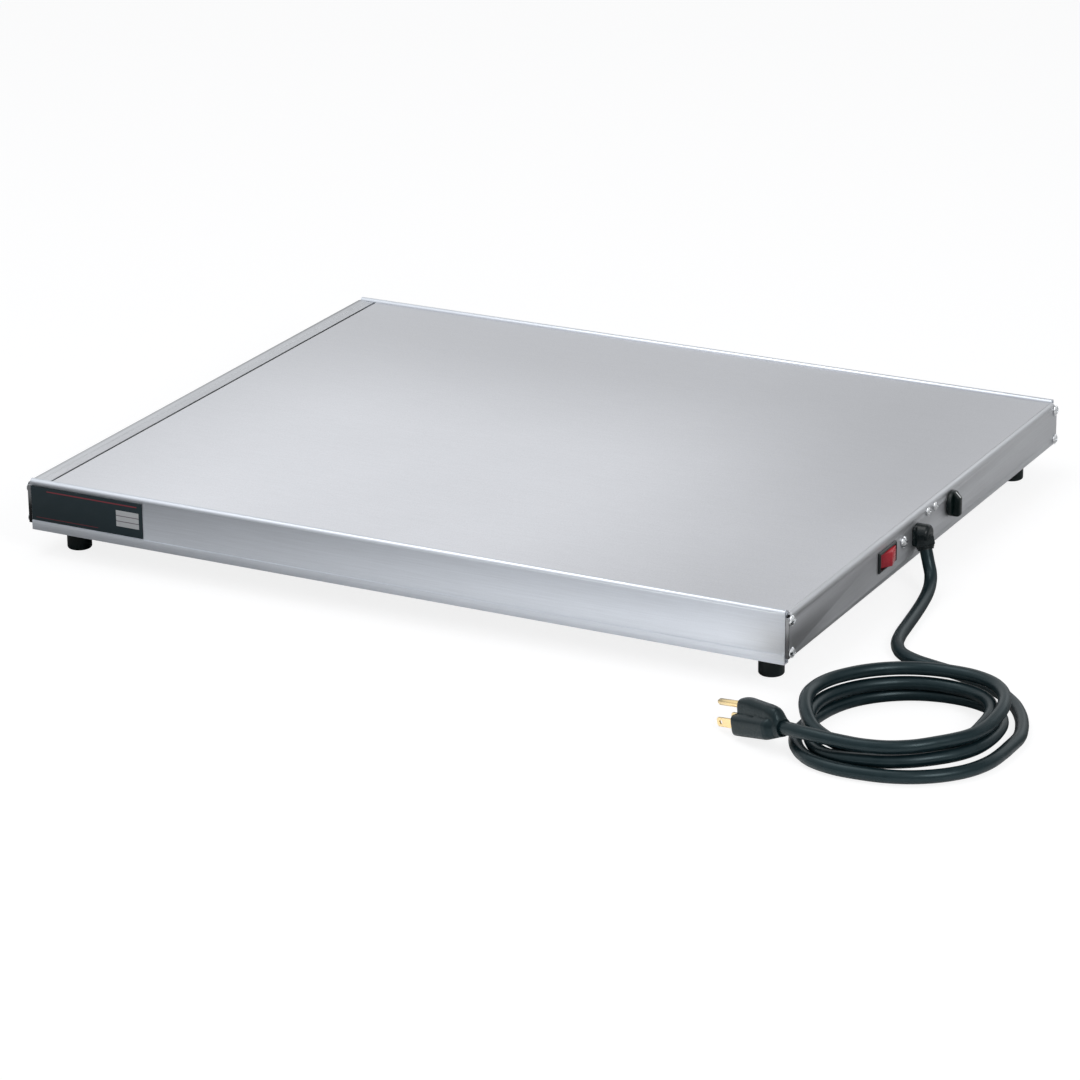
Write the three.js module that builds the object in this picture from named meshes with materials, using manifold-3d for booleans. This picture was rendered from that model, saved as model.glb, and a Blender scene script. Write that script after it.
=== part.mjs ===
// Heated display shelf: a low stainless deck on two extruded rails and two end panels, with a
// lighted rocker switch, a thermostat knob and a cord with a moulded three-pin plug.
// Millimetres, +Z up. The origin lies on the table, under the middle of the shelf with its knob and screws.

import * as THREE from 'three';
import { mergeVertices } from 'three/addons/utils/BufferGeometryUtils.js';
import Module from 'manifold-3d';

const wasm = await Module();
wasm.setup();

// Clearances
const seatGap = 0.3;
const overrun = 2;

// Shelf body
const railLength = 609.6;
const shelfDepth = 495.3;
const railHeight = 39.4;
const footDrop = 19.8;
const lipDrop = 4.74;
const beadStand = 1.7;
const sheet = 1.2;

// Rails, an extruded section with a hollow bead on top and a hollow lip below
const railWall = 1.8;
const railRecess = 0.6;
const beadRadius = 2.5;
const beadBoreRadius = 1.1;
const lipHeight = 7;
const lipDepth = 6.4;
const lipWall = 1.2;
const bossRadius = 3.1;
const bossBoreRadius = 1.95;
const bossSlot = 1.4;
const bossInset = 4.6;
const upperBossHeight = 31.7;
const lowerBossHeight = 8.5;
const ledgeThickness = 1.5;
const deckLedgeDepth = 16;
const panLedgeHeight = 5.1;
const panLedgeDepth = 20;

// End panels
const panelOffset = 3;
const panelBend = 2.8;
const panelReturnHeight = 34.1;
const leftFlangeReach = 12.6;
const leftJoggleStart = 5.5;
const leftJoggleDrop = 0.4;
const rightFlangeReach = 12;
const rightFlangeDrop = 1.5;
const innerBend = 1;

// Deck
const deckLeftEdge = 14.6;
const deckBend = 1.2;
const deckEdgeDrop = 2.7;

// Bottom pan
const panThickness = 1;
const panEndInset = 0.3;
const panTurnUp = 6;

// Feet and their screws
const footRadius = 9.2;
const footInsetX = 22.3;
const footInsetY = 27.8;
const footEdge = 1.6;
const footCounterbore = 12;
const footCounterRadius = 4.8;
const footScrewRadius = 1.9;
const footHeadRadius = 4;
const footHeadHeight = 2.6;
const nutRadius = 3.9;
const nutHeight = 3.2;
const threadProud = 1;

// Sheet-metal screws in the end panels
const endScrewHeadRadius = 3.9;
const endScrewHeadHeight = 2.2;
const endScrewRim = 0.6;
const endScrewRadius = 1.6;
const endScrewLength = 14;

// Insulation, heating blanket and the divider of the control compartment
const insulationLeft = 36;
const dividerFromRight = 64;
const dividerClear = 2;
const insulationHeight = 28.6;
const blanketInset = 4;
const blanketThickness = 2.2;
const dividerFlange = 10;
const leadHoleRadius = 2;
const leadHoleHeight = 29;
const leadHoleFirst = 300;
const leadHoleStep = 10;

// Rocker switch
const switchPlaceY = 166.5;
const switchPlaceZ = 22.2;
const bezelLength = 31;
const bezelWidth = 15.6;
const bezelHeight = 1.5;
const bezelBevel = 1.1;
const switchBodyLength = 29.4;
const switchBodyWidth = 14;
const switchBodyDepth = 18;
const switchRearWall = 3;
const rockerRadius = 13.05;
const rockerHalfWidth = 5.4;
const rockerRidge = 9;
const rockerShoulder = 3.4;
const rockerSkirt = 2;
const rockerPivotDepth = 3.5;
const rockerRestAngle = 11;
const rockerPinRadius = 1.2;
const rockerPinReach = 1.1;
const rockerSideGap = 0.5;
const lampRadius = 1.5;
const lampLength = 9;
const bladeWidth = 6.3;
const bladeThickness = 0.8;
const bladeReach = 8;
const bladeSpacing = 9;

// Ground screw
const groundPlaceY = 196;
const groundPlaceZ = 23.6;
const groundHeadRadius = 4.4;
const groundHeadHeight = 2.8;
const groundScrewRadius = 1.9;
const groundScrewLength = 12;
const groundLugRadius = 4.6;
const groundLugThickness = 0.8;
const groundLugTail = 9;
const groundLugWidth = 4.4;

// Right-angle strain relief
const reliefPlaceY = 220.5;
const reliefPlaceZ = 22.5;
const reliefFlangeLength = 21;
const reliefFlangeHeight = 15;
const reliefFlangeCorner = 2.6;
const reliefFlangeThickness = 2.2;
const reliefBarrelRadius = 6.4;
const reliefBarrelInside = 8;
const reliefLockRadius = 9.6;
const reliefLockThickness = 3;
const reliefElbowReach = 5.6;
const reliefElbowRadius = 6.4;
const reliefElbowTop = 29.4;
const reliefElbowBottom = 16;
const reliefElbowShift = 0.4;
const reliefCollarRadius = 7.2;
const reliefMouthRadius = 6.3;
const reliefCollarLength = 8;
const reliefCollarStart = 18.5;
const reliefTilt = 24;
const reliefHeading = -36;
const reliefRibs = 3;
const reliefRibGap = 1.1;
const reliefRibDepth = 0.5;

// Terminal block
const blockFirstY = 234;
const blockLength = 26;
const blockBottom = 25.5;
const blockHeight = 9;
const blockDepth = 12;
const blockScrewFirst = 6.5;
const blockScrewSpacing = 13;
const blockScrewHeight = 32;
const blockScrewHeadRadius = 3;
const blockScrewHeadHeight = 1.6;
const blockScrewRadius = 1.3;
const blockScrewLength = 9;
const blockGrooveWidth = 2;
const blockGrooveDepth = 3;

// Thermostat
const knobPlaceY = 283;
const knobPlaceZ = 24.9;
const thermostatWidth = 32;
const thermostatHeight = 19;
const thermostatDepth = 24;
const bushingRadius = 4.6;
const bushingReach = 2.2;
const shaftRadius = 2.9;
const shaftInside = 5;
const shaftReach = 7;
const thermostatNutRadius = 6.6;
const thermostatNutThickness = 1.5;
const knobRadius = 9.6;
const knobBack = 0.6;
const knobSkirtThickness = 3.2;
const knobReach = 9.5;
const knobGripWidth = 7;
const knobGripTaper = 0.9;
const knobNoseShoulder = 4.6;
const knobNoseHeight = 4;
const knobGripShort = 0.4;
const knobRecessRadius = 7.4;
const knobRecessDepth = 2.6;
const knobWall = 2.2;

// Thermostat bulb, its clip and capillary tube
const bulbRadius = 3;
const bulbFromRight = 54;
const bulbStartY = 150;
const bulbLength = 80;
const clipThickness = 0.8;
const clipWidth = 10;
const clipEar = 4;
const capillaryRadius = 0.9;
const capillaryDrop = 5;
const capillaryLead = 3;

// Wires inside the control compartment
const wireRadius = 1.3;
const wireSteps = 18;
const ferruleRadius = 2.9;
const ferruleLength = 6;
const ferruleInset = 7;
const ferruleHeight = 29.5;
const wireStub = 6;
const wireSlack = 8;
const conductorSpacing = 3;
const thermostatTabSpacing = 7.5;
const thermostatTabDrop = 3;

// Power cord
const cordDiameter = 9.3;
const cordLift = 0.06;
const cordSides = 10;
const leadSteps = 42;
const tailSteps = 11;

// Coil: loops laid one on the next, clockwise seen from above
const coilCentreX = 715;
const coilCentreY = -41;
const coilTurns = 3;
const coilExtraAngle = 35;
const coilStepsPerLoop = 24;
const coilWayAngle = 1;
const coilSides = 6;
const coilClimbStart = 265;
const loopRadius = 71;
const loopRadiusShares = [1, 1.014, 1.003, 1.008, 1.07, 1.007, 0.896, 0.911, 0.958, 1.018, 1.049, 1.028];
const leanAngles = [36, 31, 31, 13, 88, 78, 67, 52, 20, 0, -12, 80, 110, 104, 103, 135, 142, 127, 117];
const leanSpacingShares = [
  1.33, 1.5, 1.12, 1.12, 1.09, 1.08, 1.08, 1.1, 1.1, 1.1, 1.08, 1.1, 1.09, 1.08, 1.1, 1.27, 1.19, 1.3, 1.62,
];
const leanStationAngle = 45;

// Plug, a moulded three-pin body lying on the table with its cord end raised
const plugFaceX = 615.1;
const plugFaceY = -78.2;
const plugTurn = -24.7;
const plugPitch = 12.6;
const plugLobeLength = 26;
const plugLobeWidth = 24;
const plugLobeHeight = 15.6;
const plugUpperWidth = 14.5;
const plugUpperTop = 23.5;
const plugUpperBack = 20.8;
const plugUpperSlopeStart = 20;
const plugUpperEnd = 33;
const plugUpperEndHeight = 12;
const plugEdge = 2;
const plugNeckStart = 20;
const plugNeckRadius = 7.4;
const plugNeckEndRadius = 5.7;
const plugNeckHeight = 8.7;
const plugLength = 44.8;
const plugRibs = 4;
const plugRibPitch = 3;
const plugRibDepth = 0.7;
const bladePinLine = 9;
const bladePinWidth = 6.35;
const bladePinThickness = 1.5;
const bladePinLength = 16.5;
const bladePinSpacing = 12.7;
const bladePinHole = 1.6;
const bladePinHoleInset = 4;
const bladePinRoot = 4;
const bladePinChamfer = 1.4;
const groundPinRadius = 2.38;
const groundPinLength = 20.5;
const groundPinAbove = 11.9;

// Label on the front rail
const labelStart = 0.4;
const labelLength = 96;
const labelBottom = 7.6;
const labelHeight = 26.6;
const labelThickness = 0.25;

// Facets
const roundSides = 24;
const smallSides = 12;
const wireSides = 6;
const curveFacets = 5;
const domeFacets = 3;

// Worked-out places
const deckTop = railHeight - beadStand;
const deckUnder = deckTop - sheet;
const deckEdgeBottom = deckTop - deckEdgeDrop;
const deckLedgeHeight = deckEdgeBottom - seatGap;
const rightFace = railLength + panelOffset;
const rightInner = rightFace - sheet;
const panTop = panLedgeHeight - seatGap;
const panUnder = panTop - panThickness;
const edgeFront = 2 * beadRadius + seatGap;
const edgeRear = shelfDepth - edgeFront;
const leftReach = panelOffset + seatGap + endScrewHeadHeight;
const rightReach = panelOffset + knobReach;
const cordRadius = cordDiameter / 2;
const cordHeight = cordRadius + cordLift;
const dividerLeft = railLength - dividerFromRight;

const degrees = THREE.MathUtils.degToRad;

const steel = (color, roughness = 0.35) => new THREE.MeshStandardMaterial({ color, roughness, metalness: 1 });
const plastic = (color, roughness = 0.5) => new THREE.MeshStandardMaterial({ color, roughness, metalness: 0 });

const heatedShelf = new THREE.Group();
const shelf = new THREE.Group();
shelf.position.set((leftReach - rightReach - railLength) / 2, -shelfDepth / 2, footDrop);
heatedShelf.add(shelf);

/** A closed solid made from a three.js geometry whose shared corners are merged. */
function solid(geometry) {
  const bare = geometry.clone();
  bare.deleteAttribute('normal');
  bare.deleteAttribute('uv');
  const merged = mergeVertices(bare);
  const corners = merged.index.array;
  const triangles = [];
  for (let i = 0; i < corners.length; i += 3) {
    const [a, b, c] = [corners[i], corners[i + 1], corners[i + 2]];
    if (a !== b && b !== c && c !== a) triangles.push(a, b, c);
  }
  return new wasm.Manifold(new wasm.Mesh({
    numProp: 3,
    vertProperties: new Float32Array(merged.attributes.position.array),
    triVerts: new Uint32Array(triangles),
  }));
}

/** A flat-shaded three.js geometry from a solid. */
function geometryOf(body) {
  const mesh = body.getMesh();
  const geometry = new THREE.BufferGeometry();
  geometry.setAttribute('position', new THREE.BufferAttribute(mesh.vertProperties, 3));
  geometry.setIndex(new THREE.BufferAttribute(mesh.triVerts, 1));
  const faceted = geometry.toNonIndexed();
  faceted.computeVertexNormals();
  return faceted;
}

function addPiece(name, body, material, parent = shelf) {
  const mesh = new THREE.Mesh(body instanceof THREE.BufferGeometry ? body : geometryOf(body), material);
  mesh.name = name;
  parent.add(mesh);
  return mesh;
}

function joined(bodies) {
  return bodies.reduce((whole, body) => whole.add(body));
}

function block(x0, x1, y0, y1, z0, z1) {
  const geometry = new THREE.BoxGeometry(x1 - x0, y1 - y0, z1 - z0);
  return solid(geometry.translate((x0 + x1) / 2, (y0 + y1) / 2, (z0 + z1) / 2));
}

const AXES = {
  x: new THREE.Matrix4().makeBasis(
    new THREE.Vector3(0, 1, 0), new THREE.Vector3(0, 0, 1), new THREE.Vector3(1, 0, 0)),
  y: new THREE.Matrix4().makeBasis(
    new THREE.Vector3(1, 0, 0), new THREE.Vector3(0, 0, 1), new THREE.Vector3(0, -1, 0)),
  z: new THREE.Matrix4(),
};

/** An outline carried along an axis: drawn in (Y, Z) for x, in (X, Z) for y and in (X, Y) for z. */
function extruded(axis, outline, from, to) {
  const options = { depth: to - from, bevelEnabled: false, curveSegments: curveFacets };
  const geometry = new THREE.ExtrudeGeometry(outline, options).applyMatrix4(AXES[axis]);
  const start = { x: [from, 0, 0], y: [0, to, 0], z: [0, 0, from] }[axis];
  return solid(geometry.translate(...start));
}

function rectangle(a0, a1, b0, b1) {
  return polygon([[a0, b0], [a1, b0], [a1, b1], [a0, b1]]);
}

function polygon(points) {
  return new THREE.Shape(points.map(([a, b]) => new THREE.Vector2(a, b)));
}

/** A rectangle about a centre, its four corners round. */
function roundedRectangle(a, b, length, height, corner) {
  const [reachA, reachB] = [length / 2 - corner, height / 2 - corner];
  const outline = new THREE.Shape();
  outline.moveTo(a + reachA, b - reachB - corner);
  outline.absarc(a + reachA, b - reachB, corner, -Math.PI / 2, 0, false);
  outline.absarc(a + reachA, b + reachB, corner, 0, Math.PI / 2, false);
  outline.absarc(a - reachA, b + reachB, corner, Math.PI / 2, Math.PI, false);
  outline.absarc(a - reachA, b - reachB, corner, Math.PI, 3 * Math.PI / 2, false);
  return outline;
}

/** A turned solid: its profile holds (radius, distance along the axis) and runs up its outside. */
function turned(axis, profile, centre, sides = roundSides) {
  const points = profile.map(([radius, along]) => new THREE.Vector2(radius, along));
  const geometry = new THREE.LatheGeometry(points, sides);
  if (axis === 'x') geometry.rotateZ(-Math.PI / 2);
  if (axis === 'z') geometry.rotateX(Math.PI / 2);
  return solid(geometry.translate(...centre));
}

/** A plain round bar between two places on its axis. */
function bar(axis, radius, from, to, centre, sides = roundSides) {
  return turned(axis, [[0, from], [radius, from], [radius, to], [0, to]], centre, sides);
}

/** A hexagonal nut with its bore. */
function nut(axis, radius, bore, from, to, centre) {
  return bar(axis, radius, from, to, centre, 6)
    .subtract(bar(axis, bore, from - overrun, to + overrun, centre, smallSides));
}

/** A screw along X with a domed head on the side named and its shank the other way. */
function domeScrew(side, headRadius, headHeight, rim, shankRadius, shankLength) {
  const profile = [[0, -shankLength], [shankRadius, -shankLength], [shankRadius, 0], [headRadius, 0]];
  for (let i = 0; i <= domeFacets; i += 1) {
    const angle = (i / domeFacets) * Math.PI / 2;
    profile.push([headRadius * Math.cos(angle), rim + (headHeight - rim) * Math.sin(angle)]);
  }
  profile[profile.length - 1][0] = 0;
  const screw = turned('x', profile, [0, 0, 0], smallSides);
  return side < 0 ? screw.rotate([0, 0, 180]) : screw;
}

/** A round tube along a list of places. */
function cordAlong(points, radius, steps, sides) {
  const path = new THREE.CatmullRomCurve3(points.map((p) => new THREE.Vector3(...p)), false, 'centripetal');
  const section = new THREE.Shape();
  for (let i = 0; i < sides; i += 1) {
    const angle = (i / sides) * Math.PI * 2;
    const [x, y] = [radius * Math.cos(angle), radius * Math.sin(angle)];
    if (i === 0) section.moveTo(x, y);
    else section.lineTo(x, y);
  }
  return solid(new THREE.ExtrudeGeometry(section, { steps, extrudePath: path, bevelEnabled: false }));
}

// Front and rear rails

function railBosses(toY) {
  return [upperBossHeight, lowerBossHeight].map((height) => [0, toY(bossInset), height]);
}

function makeRail(front) {
  const toY = (depth) => (front ? depth : shelfDepth - depth);
  const along = (outline) => extruded('x', outline, 0, railLength);
  const wallBottom = front ? 0 : lipDrop;
  const beadCentre = [0, toY(beadRadius), railHeight - beadRadius];
  const bodies = [
    along(rectangle(toY(railRecess), toY(railRecess + railWall), wallBottom, railHeight - beadRadius)),
    bar('x', beadRadius, 0, railLength, beadCentre),
    along(rectangle(
      toY(railRecess), toY(deckLedgeDepth), deckLedgeHeight - ledgeThickness, deckLedgeHeight)),
    along(rectangle(toY(railRecess), toY(panLedgeDepth), panLedgeHeight, panLedgeHeight + ledgeThickness)),
  ];
  for (const centre of railBosses(toY)) bodies.push(bar('x', bossRadius, 0, railLength, centre, smallSides));
  if (front) bodies.push(along(rectangle(0, lipDepth, 0, lipHeight)));

  const cuts = [bar('x', beadBoreRadius, -overrun, railLength + overrun, beadCentre, smallSides)];
  const open = (outline) => extruded('x', outline, -overrun, railLength + overrun);
  if (front) cuts.push(open(rectangle(lipWall, lipDepth - lipWall, lipWall, lipHeight - lipWall)));
  for (const centre of railBosses(toY)) {
    cuts.push(bar('x', bossBoreRadius, -overrun, railLength + overrun, centre, smallSides));
    const slot = [centre[1], toY(bossInset + bossRadius + overrun)];
    cuts.push(open(rectangle(slot[0], slot[1], centre[2] - bossSlot / 2, centre[2] + bossSlot / 2)));
  }
  return joined(bodies).subtract(joined(cuts));
}

const railSteel = steel(0xc4c7cc, 0.32);
addPiece('front_rail', makeRail(true), railSteel);
addPiece('rear_rail', makeRail(false), railSteel.clone());

// End panels

/** Side profile of an end panel: `out` is the distance outboard of the rail ends. */
function panelOutline(toX, right) {
  const outline = new THREE.Shape();
  const bendSteps = curveFacets;
  const inner = panelOffset - sheet;
  const points = [[panelOffset, lipDrop]];
  for (let i = 0; i <= bendSteps; i += 1) {
    const angle = (i / bendSteps) * Math.PI / 2;
    points.push([
      panelOffset - panelBend + panelBend * Math.cos(angle),
      deckTop - panelBend + panelBend * Math.sin(angle),
    ]);
  }
  const innerCorner = right ? innerBend : panelBend - sheet;
  let flangeUnder = deckUnder;
  if (right) {
    const flangeTop = deckTop - rightFlangeDrop;
    flangeUnder = flangeTop - sheet;
    points.push([0, deckTop], [0, flangeTop], [-rightFlangeReach, flangeTop], [-rightFlangeReach, flangeUnder]);
  } else {
    const lowTop = deckTop - leftJoggleDrop;
    points.push(
      [-leftJoggleStart, deckTop], [-leftJoggleStart - leftJoggleDrop, lowTop],
      [-leftFlangeReach, lowTop], [-leftFlangeReach, lowTop - sheet],
      [-leftJoggleStart - leftJoggleDrop, lowTop - sheet], [-leftJoggleStart, deckUnder]);
  }
  for (let i = bendSteps; i >= 0; i -= 1) {
    const angle = (i / bendSteps) * Math.PI / 2;
    points.push([
      inner - innerCorner + innerCorner * Math.cos(angle),
      flangeUnder - innerCorner + innerCorner * Math.sin(angle),
    ]);
  }
  points.push([inner, lipDrop]);
  points.forEach(([out, height], i) => {
    if (i === 0) outline.moveTo(toX(out), height);
    else outline.lineTo(toX(out), height);
  });
  return outline;
}

/** A box given outboard distances instead of X, for either end of the shelf. */
function endBlock(toX, out0, out1, y0, y1, z0, z1) {
  const [a, b] = [toX(out0), toX(out1)];
  return block(Math.min(a, b), Math.max(a, b), y0, y1, z0, z1);
}

function makeEndPanel(right) {
  const toX = right ? (out) => railLength + out : (out) => -out;
  const [first, last] = [railRecess, shelfDepth - railRecess];
  const far = railHeight + overrun;
  let panel = extruded('y', panelOutline(toX, right), first, last);
  const reach = Math.max(leftFlangeReach, rightFlangeReach) + overrun;
  for (const [y0, y1] of [[first - overrun, edgeFront], [edgeRear, last + overrun]]) {
    panel = panel.subtract(endBlock(toX, -reach, panelOffset + overrun, y0, y1, panelReturnHeight, far));
  }
  const deckEdge = sheet + seatGap;
  for (const y of right ? [edgeFront, edgeRear - deckEdge] : []) {
    panel = panel.subtract(endBlock(toX, -reach, -seatGap / 2, y, y + deckEdge, panelReturnHeight, deckTop - rightFlangeDrop / 2));
  }
  for (const [y0, y1] of [[first, first + sheet], [last - sheet, last]]) {
    panel = panel.add(endBlock(toX, seatGap, panelOffset, y0, y1, lipDrop, panelReturnHeight));
  }
  for (const y of [bossInset, shelfDepth - bossInset]) {
    for (const z of [upperBossHeight, lowerBossHeight]) {
      const centre = [toX(panelOffset), y, z];
      panel = panel.subtract(
        bar('x', endScrewRadius + seatGap, -sheet - overrun, sheet + overrun, centre, smallSides));
    }
  }
  return panel;
}

function controlCutouts() {
  const through = (radius, y, z, sides = roundSides) => bar(
    'x', radius, rightInner - overrun, rightFace + overrun, [0, y, z], sides);
  const halfLength = switchBodyLength / 2 + seatGap;
  const halfWidth = switchBodyWidth / 2 + seatGap;
  const cuts = [
    block(
      rightInner - overrun, rightFace + overrun,
      switchPlaceY - halfLength, switchPlaceY + halfLength,
      switchPlaceZ - halfWidth, switchPlaceZ + halfWidth),
    through(groundScrewRadius + seatGap, groundPlaceY, groundPlaceZ, smallSides),
    through(reliefBarrelRadius + seatGap, reliefPlaceY, reliefPlaceZ),
    through(bushingRadius + seatGap, knobPlaceY, knobPlaceZ),
  ];
  for (let i = 0; i < 2; i += 1) {
    const y = blockFirstY + blockScrewFirst + i * blockScrewSpacing;
    cuts.push(through(blockScrewRadius + seatGap, y, blockScrewHeight, smallSides));
  }
  return joined(cuts);
}

const panelSteel = steel(0x9a9ea2, 0.38);
addPiece('left_end_panel', makeEndPanel(false), panelSteel);
addPiece('right_end_panel', makeEndPanel(true).subtract(controlCutouts()), panelSteel.clone());

// Deck

function makeDeck() {
  const edgeBottom = deckEdgeBottom;
  const outline = new THREE.Shape();
  outline.moveTo(edgeFront, edgeBottom);
  outline.lineTo(edgeFront, deckTop - deckBend);
  outline.absarc(edgeFront + deckBend, deckTop - deckBend, deckBend, Math.PI, Math.PI / 2, true);
  outline.absarc(edgeRear - deckBend, deckTop - deckBend, deckBend, Math.PI / 2, 0, true);
  outline.lineTo(edgeRear, edgeBottom);
  outline.lineTo(edgeRear - sheet, edgeBottom);
  outline.lineTo(edgeRear - sheet, deckUnder);
  outline.lineTo(edgeFront + sheet, deckUnder);
  outline.lineTo(edgeFront + sheet, edgeBottom);
  const plate = extruded('x', outline, deckLeftEdge, railLength - seatGap);
  const leftEdge = block(deckLeftEdge, deckLeftEdge + sheet, edgeFront, edgeRear, edgeBottom, deckUnder);
  const bend = new THREE.Shape();
  bend.moveTo(deckLeftEdge - overrun, deckTop + overrun);
  bend.lineTo(deckLeftEdge - overrun, deckTop - deckBend);
  bend.lineTo(deckLeftEdge, deckTop - deckBend);
  bend.absarc(deckLeftEdge + deckBend, deckTop - deckBend, deckBend, Math.PI, Math.PI / 2, true);
  bend.lineTo(deckLeftEdge + deckBend, deckTop + overrun);
  return plate.add(leftEdge).subtract(extruded('y', bend, edgeFront - overrun, edgeRear + overrun));
}

addPiece('top_plate', makeDeck(), steel(0xb9bcc4, 0.42));

// Bottom pan

const footPlaces = [];
for (const [yName, y] of [['front', footInsetY], ['rear', shelfDepth - footInsetY]]) {
  for (const [xName, x] of [['left', footInsetX], ['right', railLength - footInsetX]]) {
    footPlaces.push({ place: `${yName}_${xName}`, x, y });
  }
}

function makePan() {
  const front = lipDepth + seatGap;
  const rear = shelfDepth - railRecess - railWall - seatGap;
  const [left, right] = [panEndInset, railLength - panEndInset];
  const turnFront = panLedgeDepth + seatGap;
  const turnRear = shelfDepth - turnFront;
  const turnTop = panTop + panTurnUp;
  let pan = joined([
    block(left, right, front, rear, panUnder, panTop),
    block(left, left + panThickness, turnFront, turnRear, panUnder, turnTop),
    block(right - panThickness, right, turnFront, turnRear, panUnder, turnTop),
  ]);
  for (const { x, y } of footPlaces) {
    const hole = footScrewRadius + seatGap;
    pan = pan.subtract(bar('z', hole, panUnder - overrun, panTop + overrun, [x, y, 0], smallSides));
  }
  return pan;
}

addPiece('bottom_pan', makePan(), steel(0xa9adb2, 0.4));

const screwSteel = steel(0xd9dbde, 0.2);

// Feet

const footTop = panUnder - seatGap;
const footShoulder = -footDrop + footCounterbore;

function makeFoot() {
  const profile = [[footCounterRadius, -footDrop], [footRadius - footEdge, -footDrop]];
  for (let i = 1; i <= curveFacets; i += 1) {
    const angle = (i / curveFacets) * Math.PI / 2;
    profile.push([
      footRadius - footEdge + footEdge * Math.sin(angle),
      -footDrop + footEdge - footEdge * Math.cos(angle),
    ]);
  }
  const bore = footScrewRadius + seatGap;
  profile.push(
    [footRadius, footTop], [bore, footTop], [bore, footShoulder],
    [footCounterRadius, footShoulder], [footCounterRadius, -footDrop]);
  return turned('z', profile, [0, 0, 0]);
}

function makeFootScrew() {
  const seat = footShoulder - seatGap;
  const end = panTop + threadProud;
  return turned('z', [
    [0, seat - footHeadHeight], [footHeadRadius, seat - footHeadHeight], [footHeadRadius, seat],
    [footScrewRadius, seat], [footScrewRadius, end], [0, end],
  ], [0, 0, 0], smallSides);
}

const footShape = geometryOf(makeFoot());
const footScrewShape = geometryOf(makeFootScrew());
for (const { place, x, y } of footPlaces) {
  addPiece(`foot_${place}`, footShape.clone(), plastic(0x14171a, 0.6)).position.set(x, y, 0);
  addPiece(`foot_screw_${place}`, footScrewShape.clone(), screwSteel.clone()).position.set(x, y, 0);
}

// End screws

for (const [end, side] of [['left', -1], ['right', 1]]) {
  const seat = side < 0 ? -panelOffset - seatGap : rightFace + seatGap;
  const shape = geometryOf(domeScrew(
    side, endScrewHeadRadius, endScrewHeadHeight, endScrewRim, endScrewRadius, endScrewLength));
  for (const [row, y] of [['front', bossInset], ['rear', shelfDepth - bossInset]]) {
    for (const [level, z] of [['upper', upperBossHeight], ['lower', lowerBossHeight]]) {
      const screw = addPiece(`end_screw_${end}_${row}_${level}`, shape.clone(), screwSteel.clone());
      screw.position.set(seat, y, z);
    }
  }
}

// Insulation, heating blanket and divider

const insideFront = panLedgeDepth + seatGap;
const insideRear = shelfDepth - insideFront;
const insulationRight = dividerLeft - dividerClear;
const insulationBottom = panTop + seatGap;
const insulationTop = insulationBottom + insulationHeight;

addPiece('insulation_blanket', block(
  insulationLeft, insulationRight, insideFront, insideRear, insulationBottom, insulationTop),
plastic(0xd8c66a, 0.95));

const blanketBottom = insulationTop + seatGap;
const blanketRight = insulationRight - blanketInset;
addPiece('heating_blanket', block(
  insulationLeft + blanketInset, blanketRight,
  insideFront + blanketInset, insideRear - blanketInset,
  blanketBottom, blanketBottom + blanketThickness),
plastic(0xa8482c, 0.8));

const leadHoles = [0, 1].map((i) => leadHoleFirst + i * leadHoleStep);

function makeDivider() {
  const bottom = panTop + seatGap;
  const divider = joined([
    block(dividerLeft, dividerLeft + sheet, insideFront, insideRear, bottom, deckUnder - seatGap),
    block(dividerLeft, dividerLeft + dividerFlange, insideFront, insideRear, bottom, bottom + sheet),
  ]);
  const holes = leadHoles.map((y) => bar(
    'x', leadHoleRadius, dividerLeft - overrun, dividerLeft + sheet + overrun, [0, y, leadHoleHeight], smallSides));
  return divider.subtract(joined(holes));
}

addPiece('compartment_divider', makeDivider(), steel(0xb4b8bb, 0.45));

// Label

addPiece('label_plate', block(
  labelStart, labelStart + labelLength,
  railRecess - seatGap - labelThickness, railRecess - seatGap,
  labelBottom, labelBottom + labelHeight),
plastic(0x16262b, 0.4));

// Rocker switch

const rockerPivotX = rightFace - rockerPivotDepth;
const cavityHalfLength = rockerRadius + seatGap + (seatGap / 2);
const cavityHalfWidth = rockerHalfWidth + rockerSideGap;
const switchRear = rightFace - switchBodyDepth;
const bladePlaces = [-1, 0, 1].map((i) => switchPlaceY + i * bladeSpacing);
const bladeInner = switchRear - bladeReach;

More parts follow.
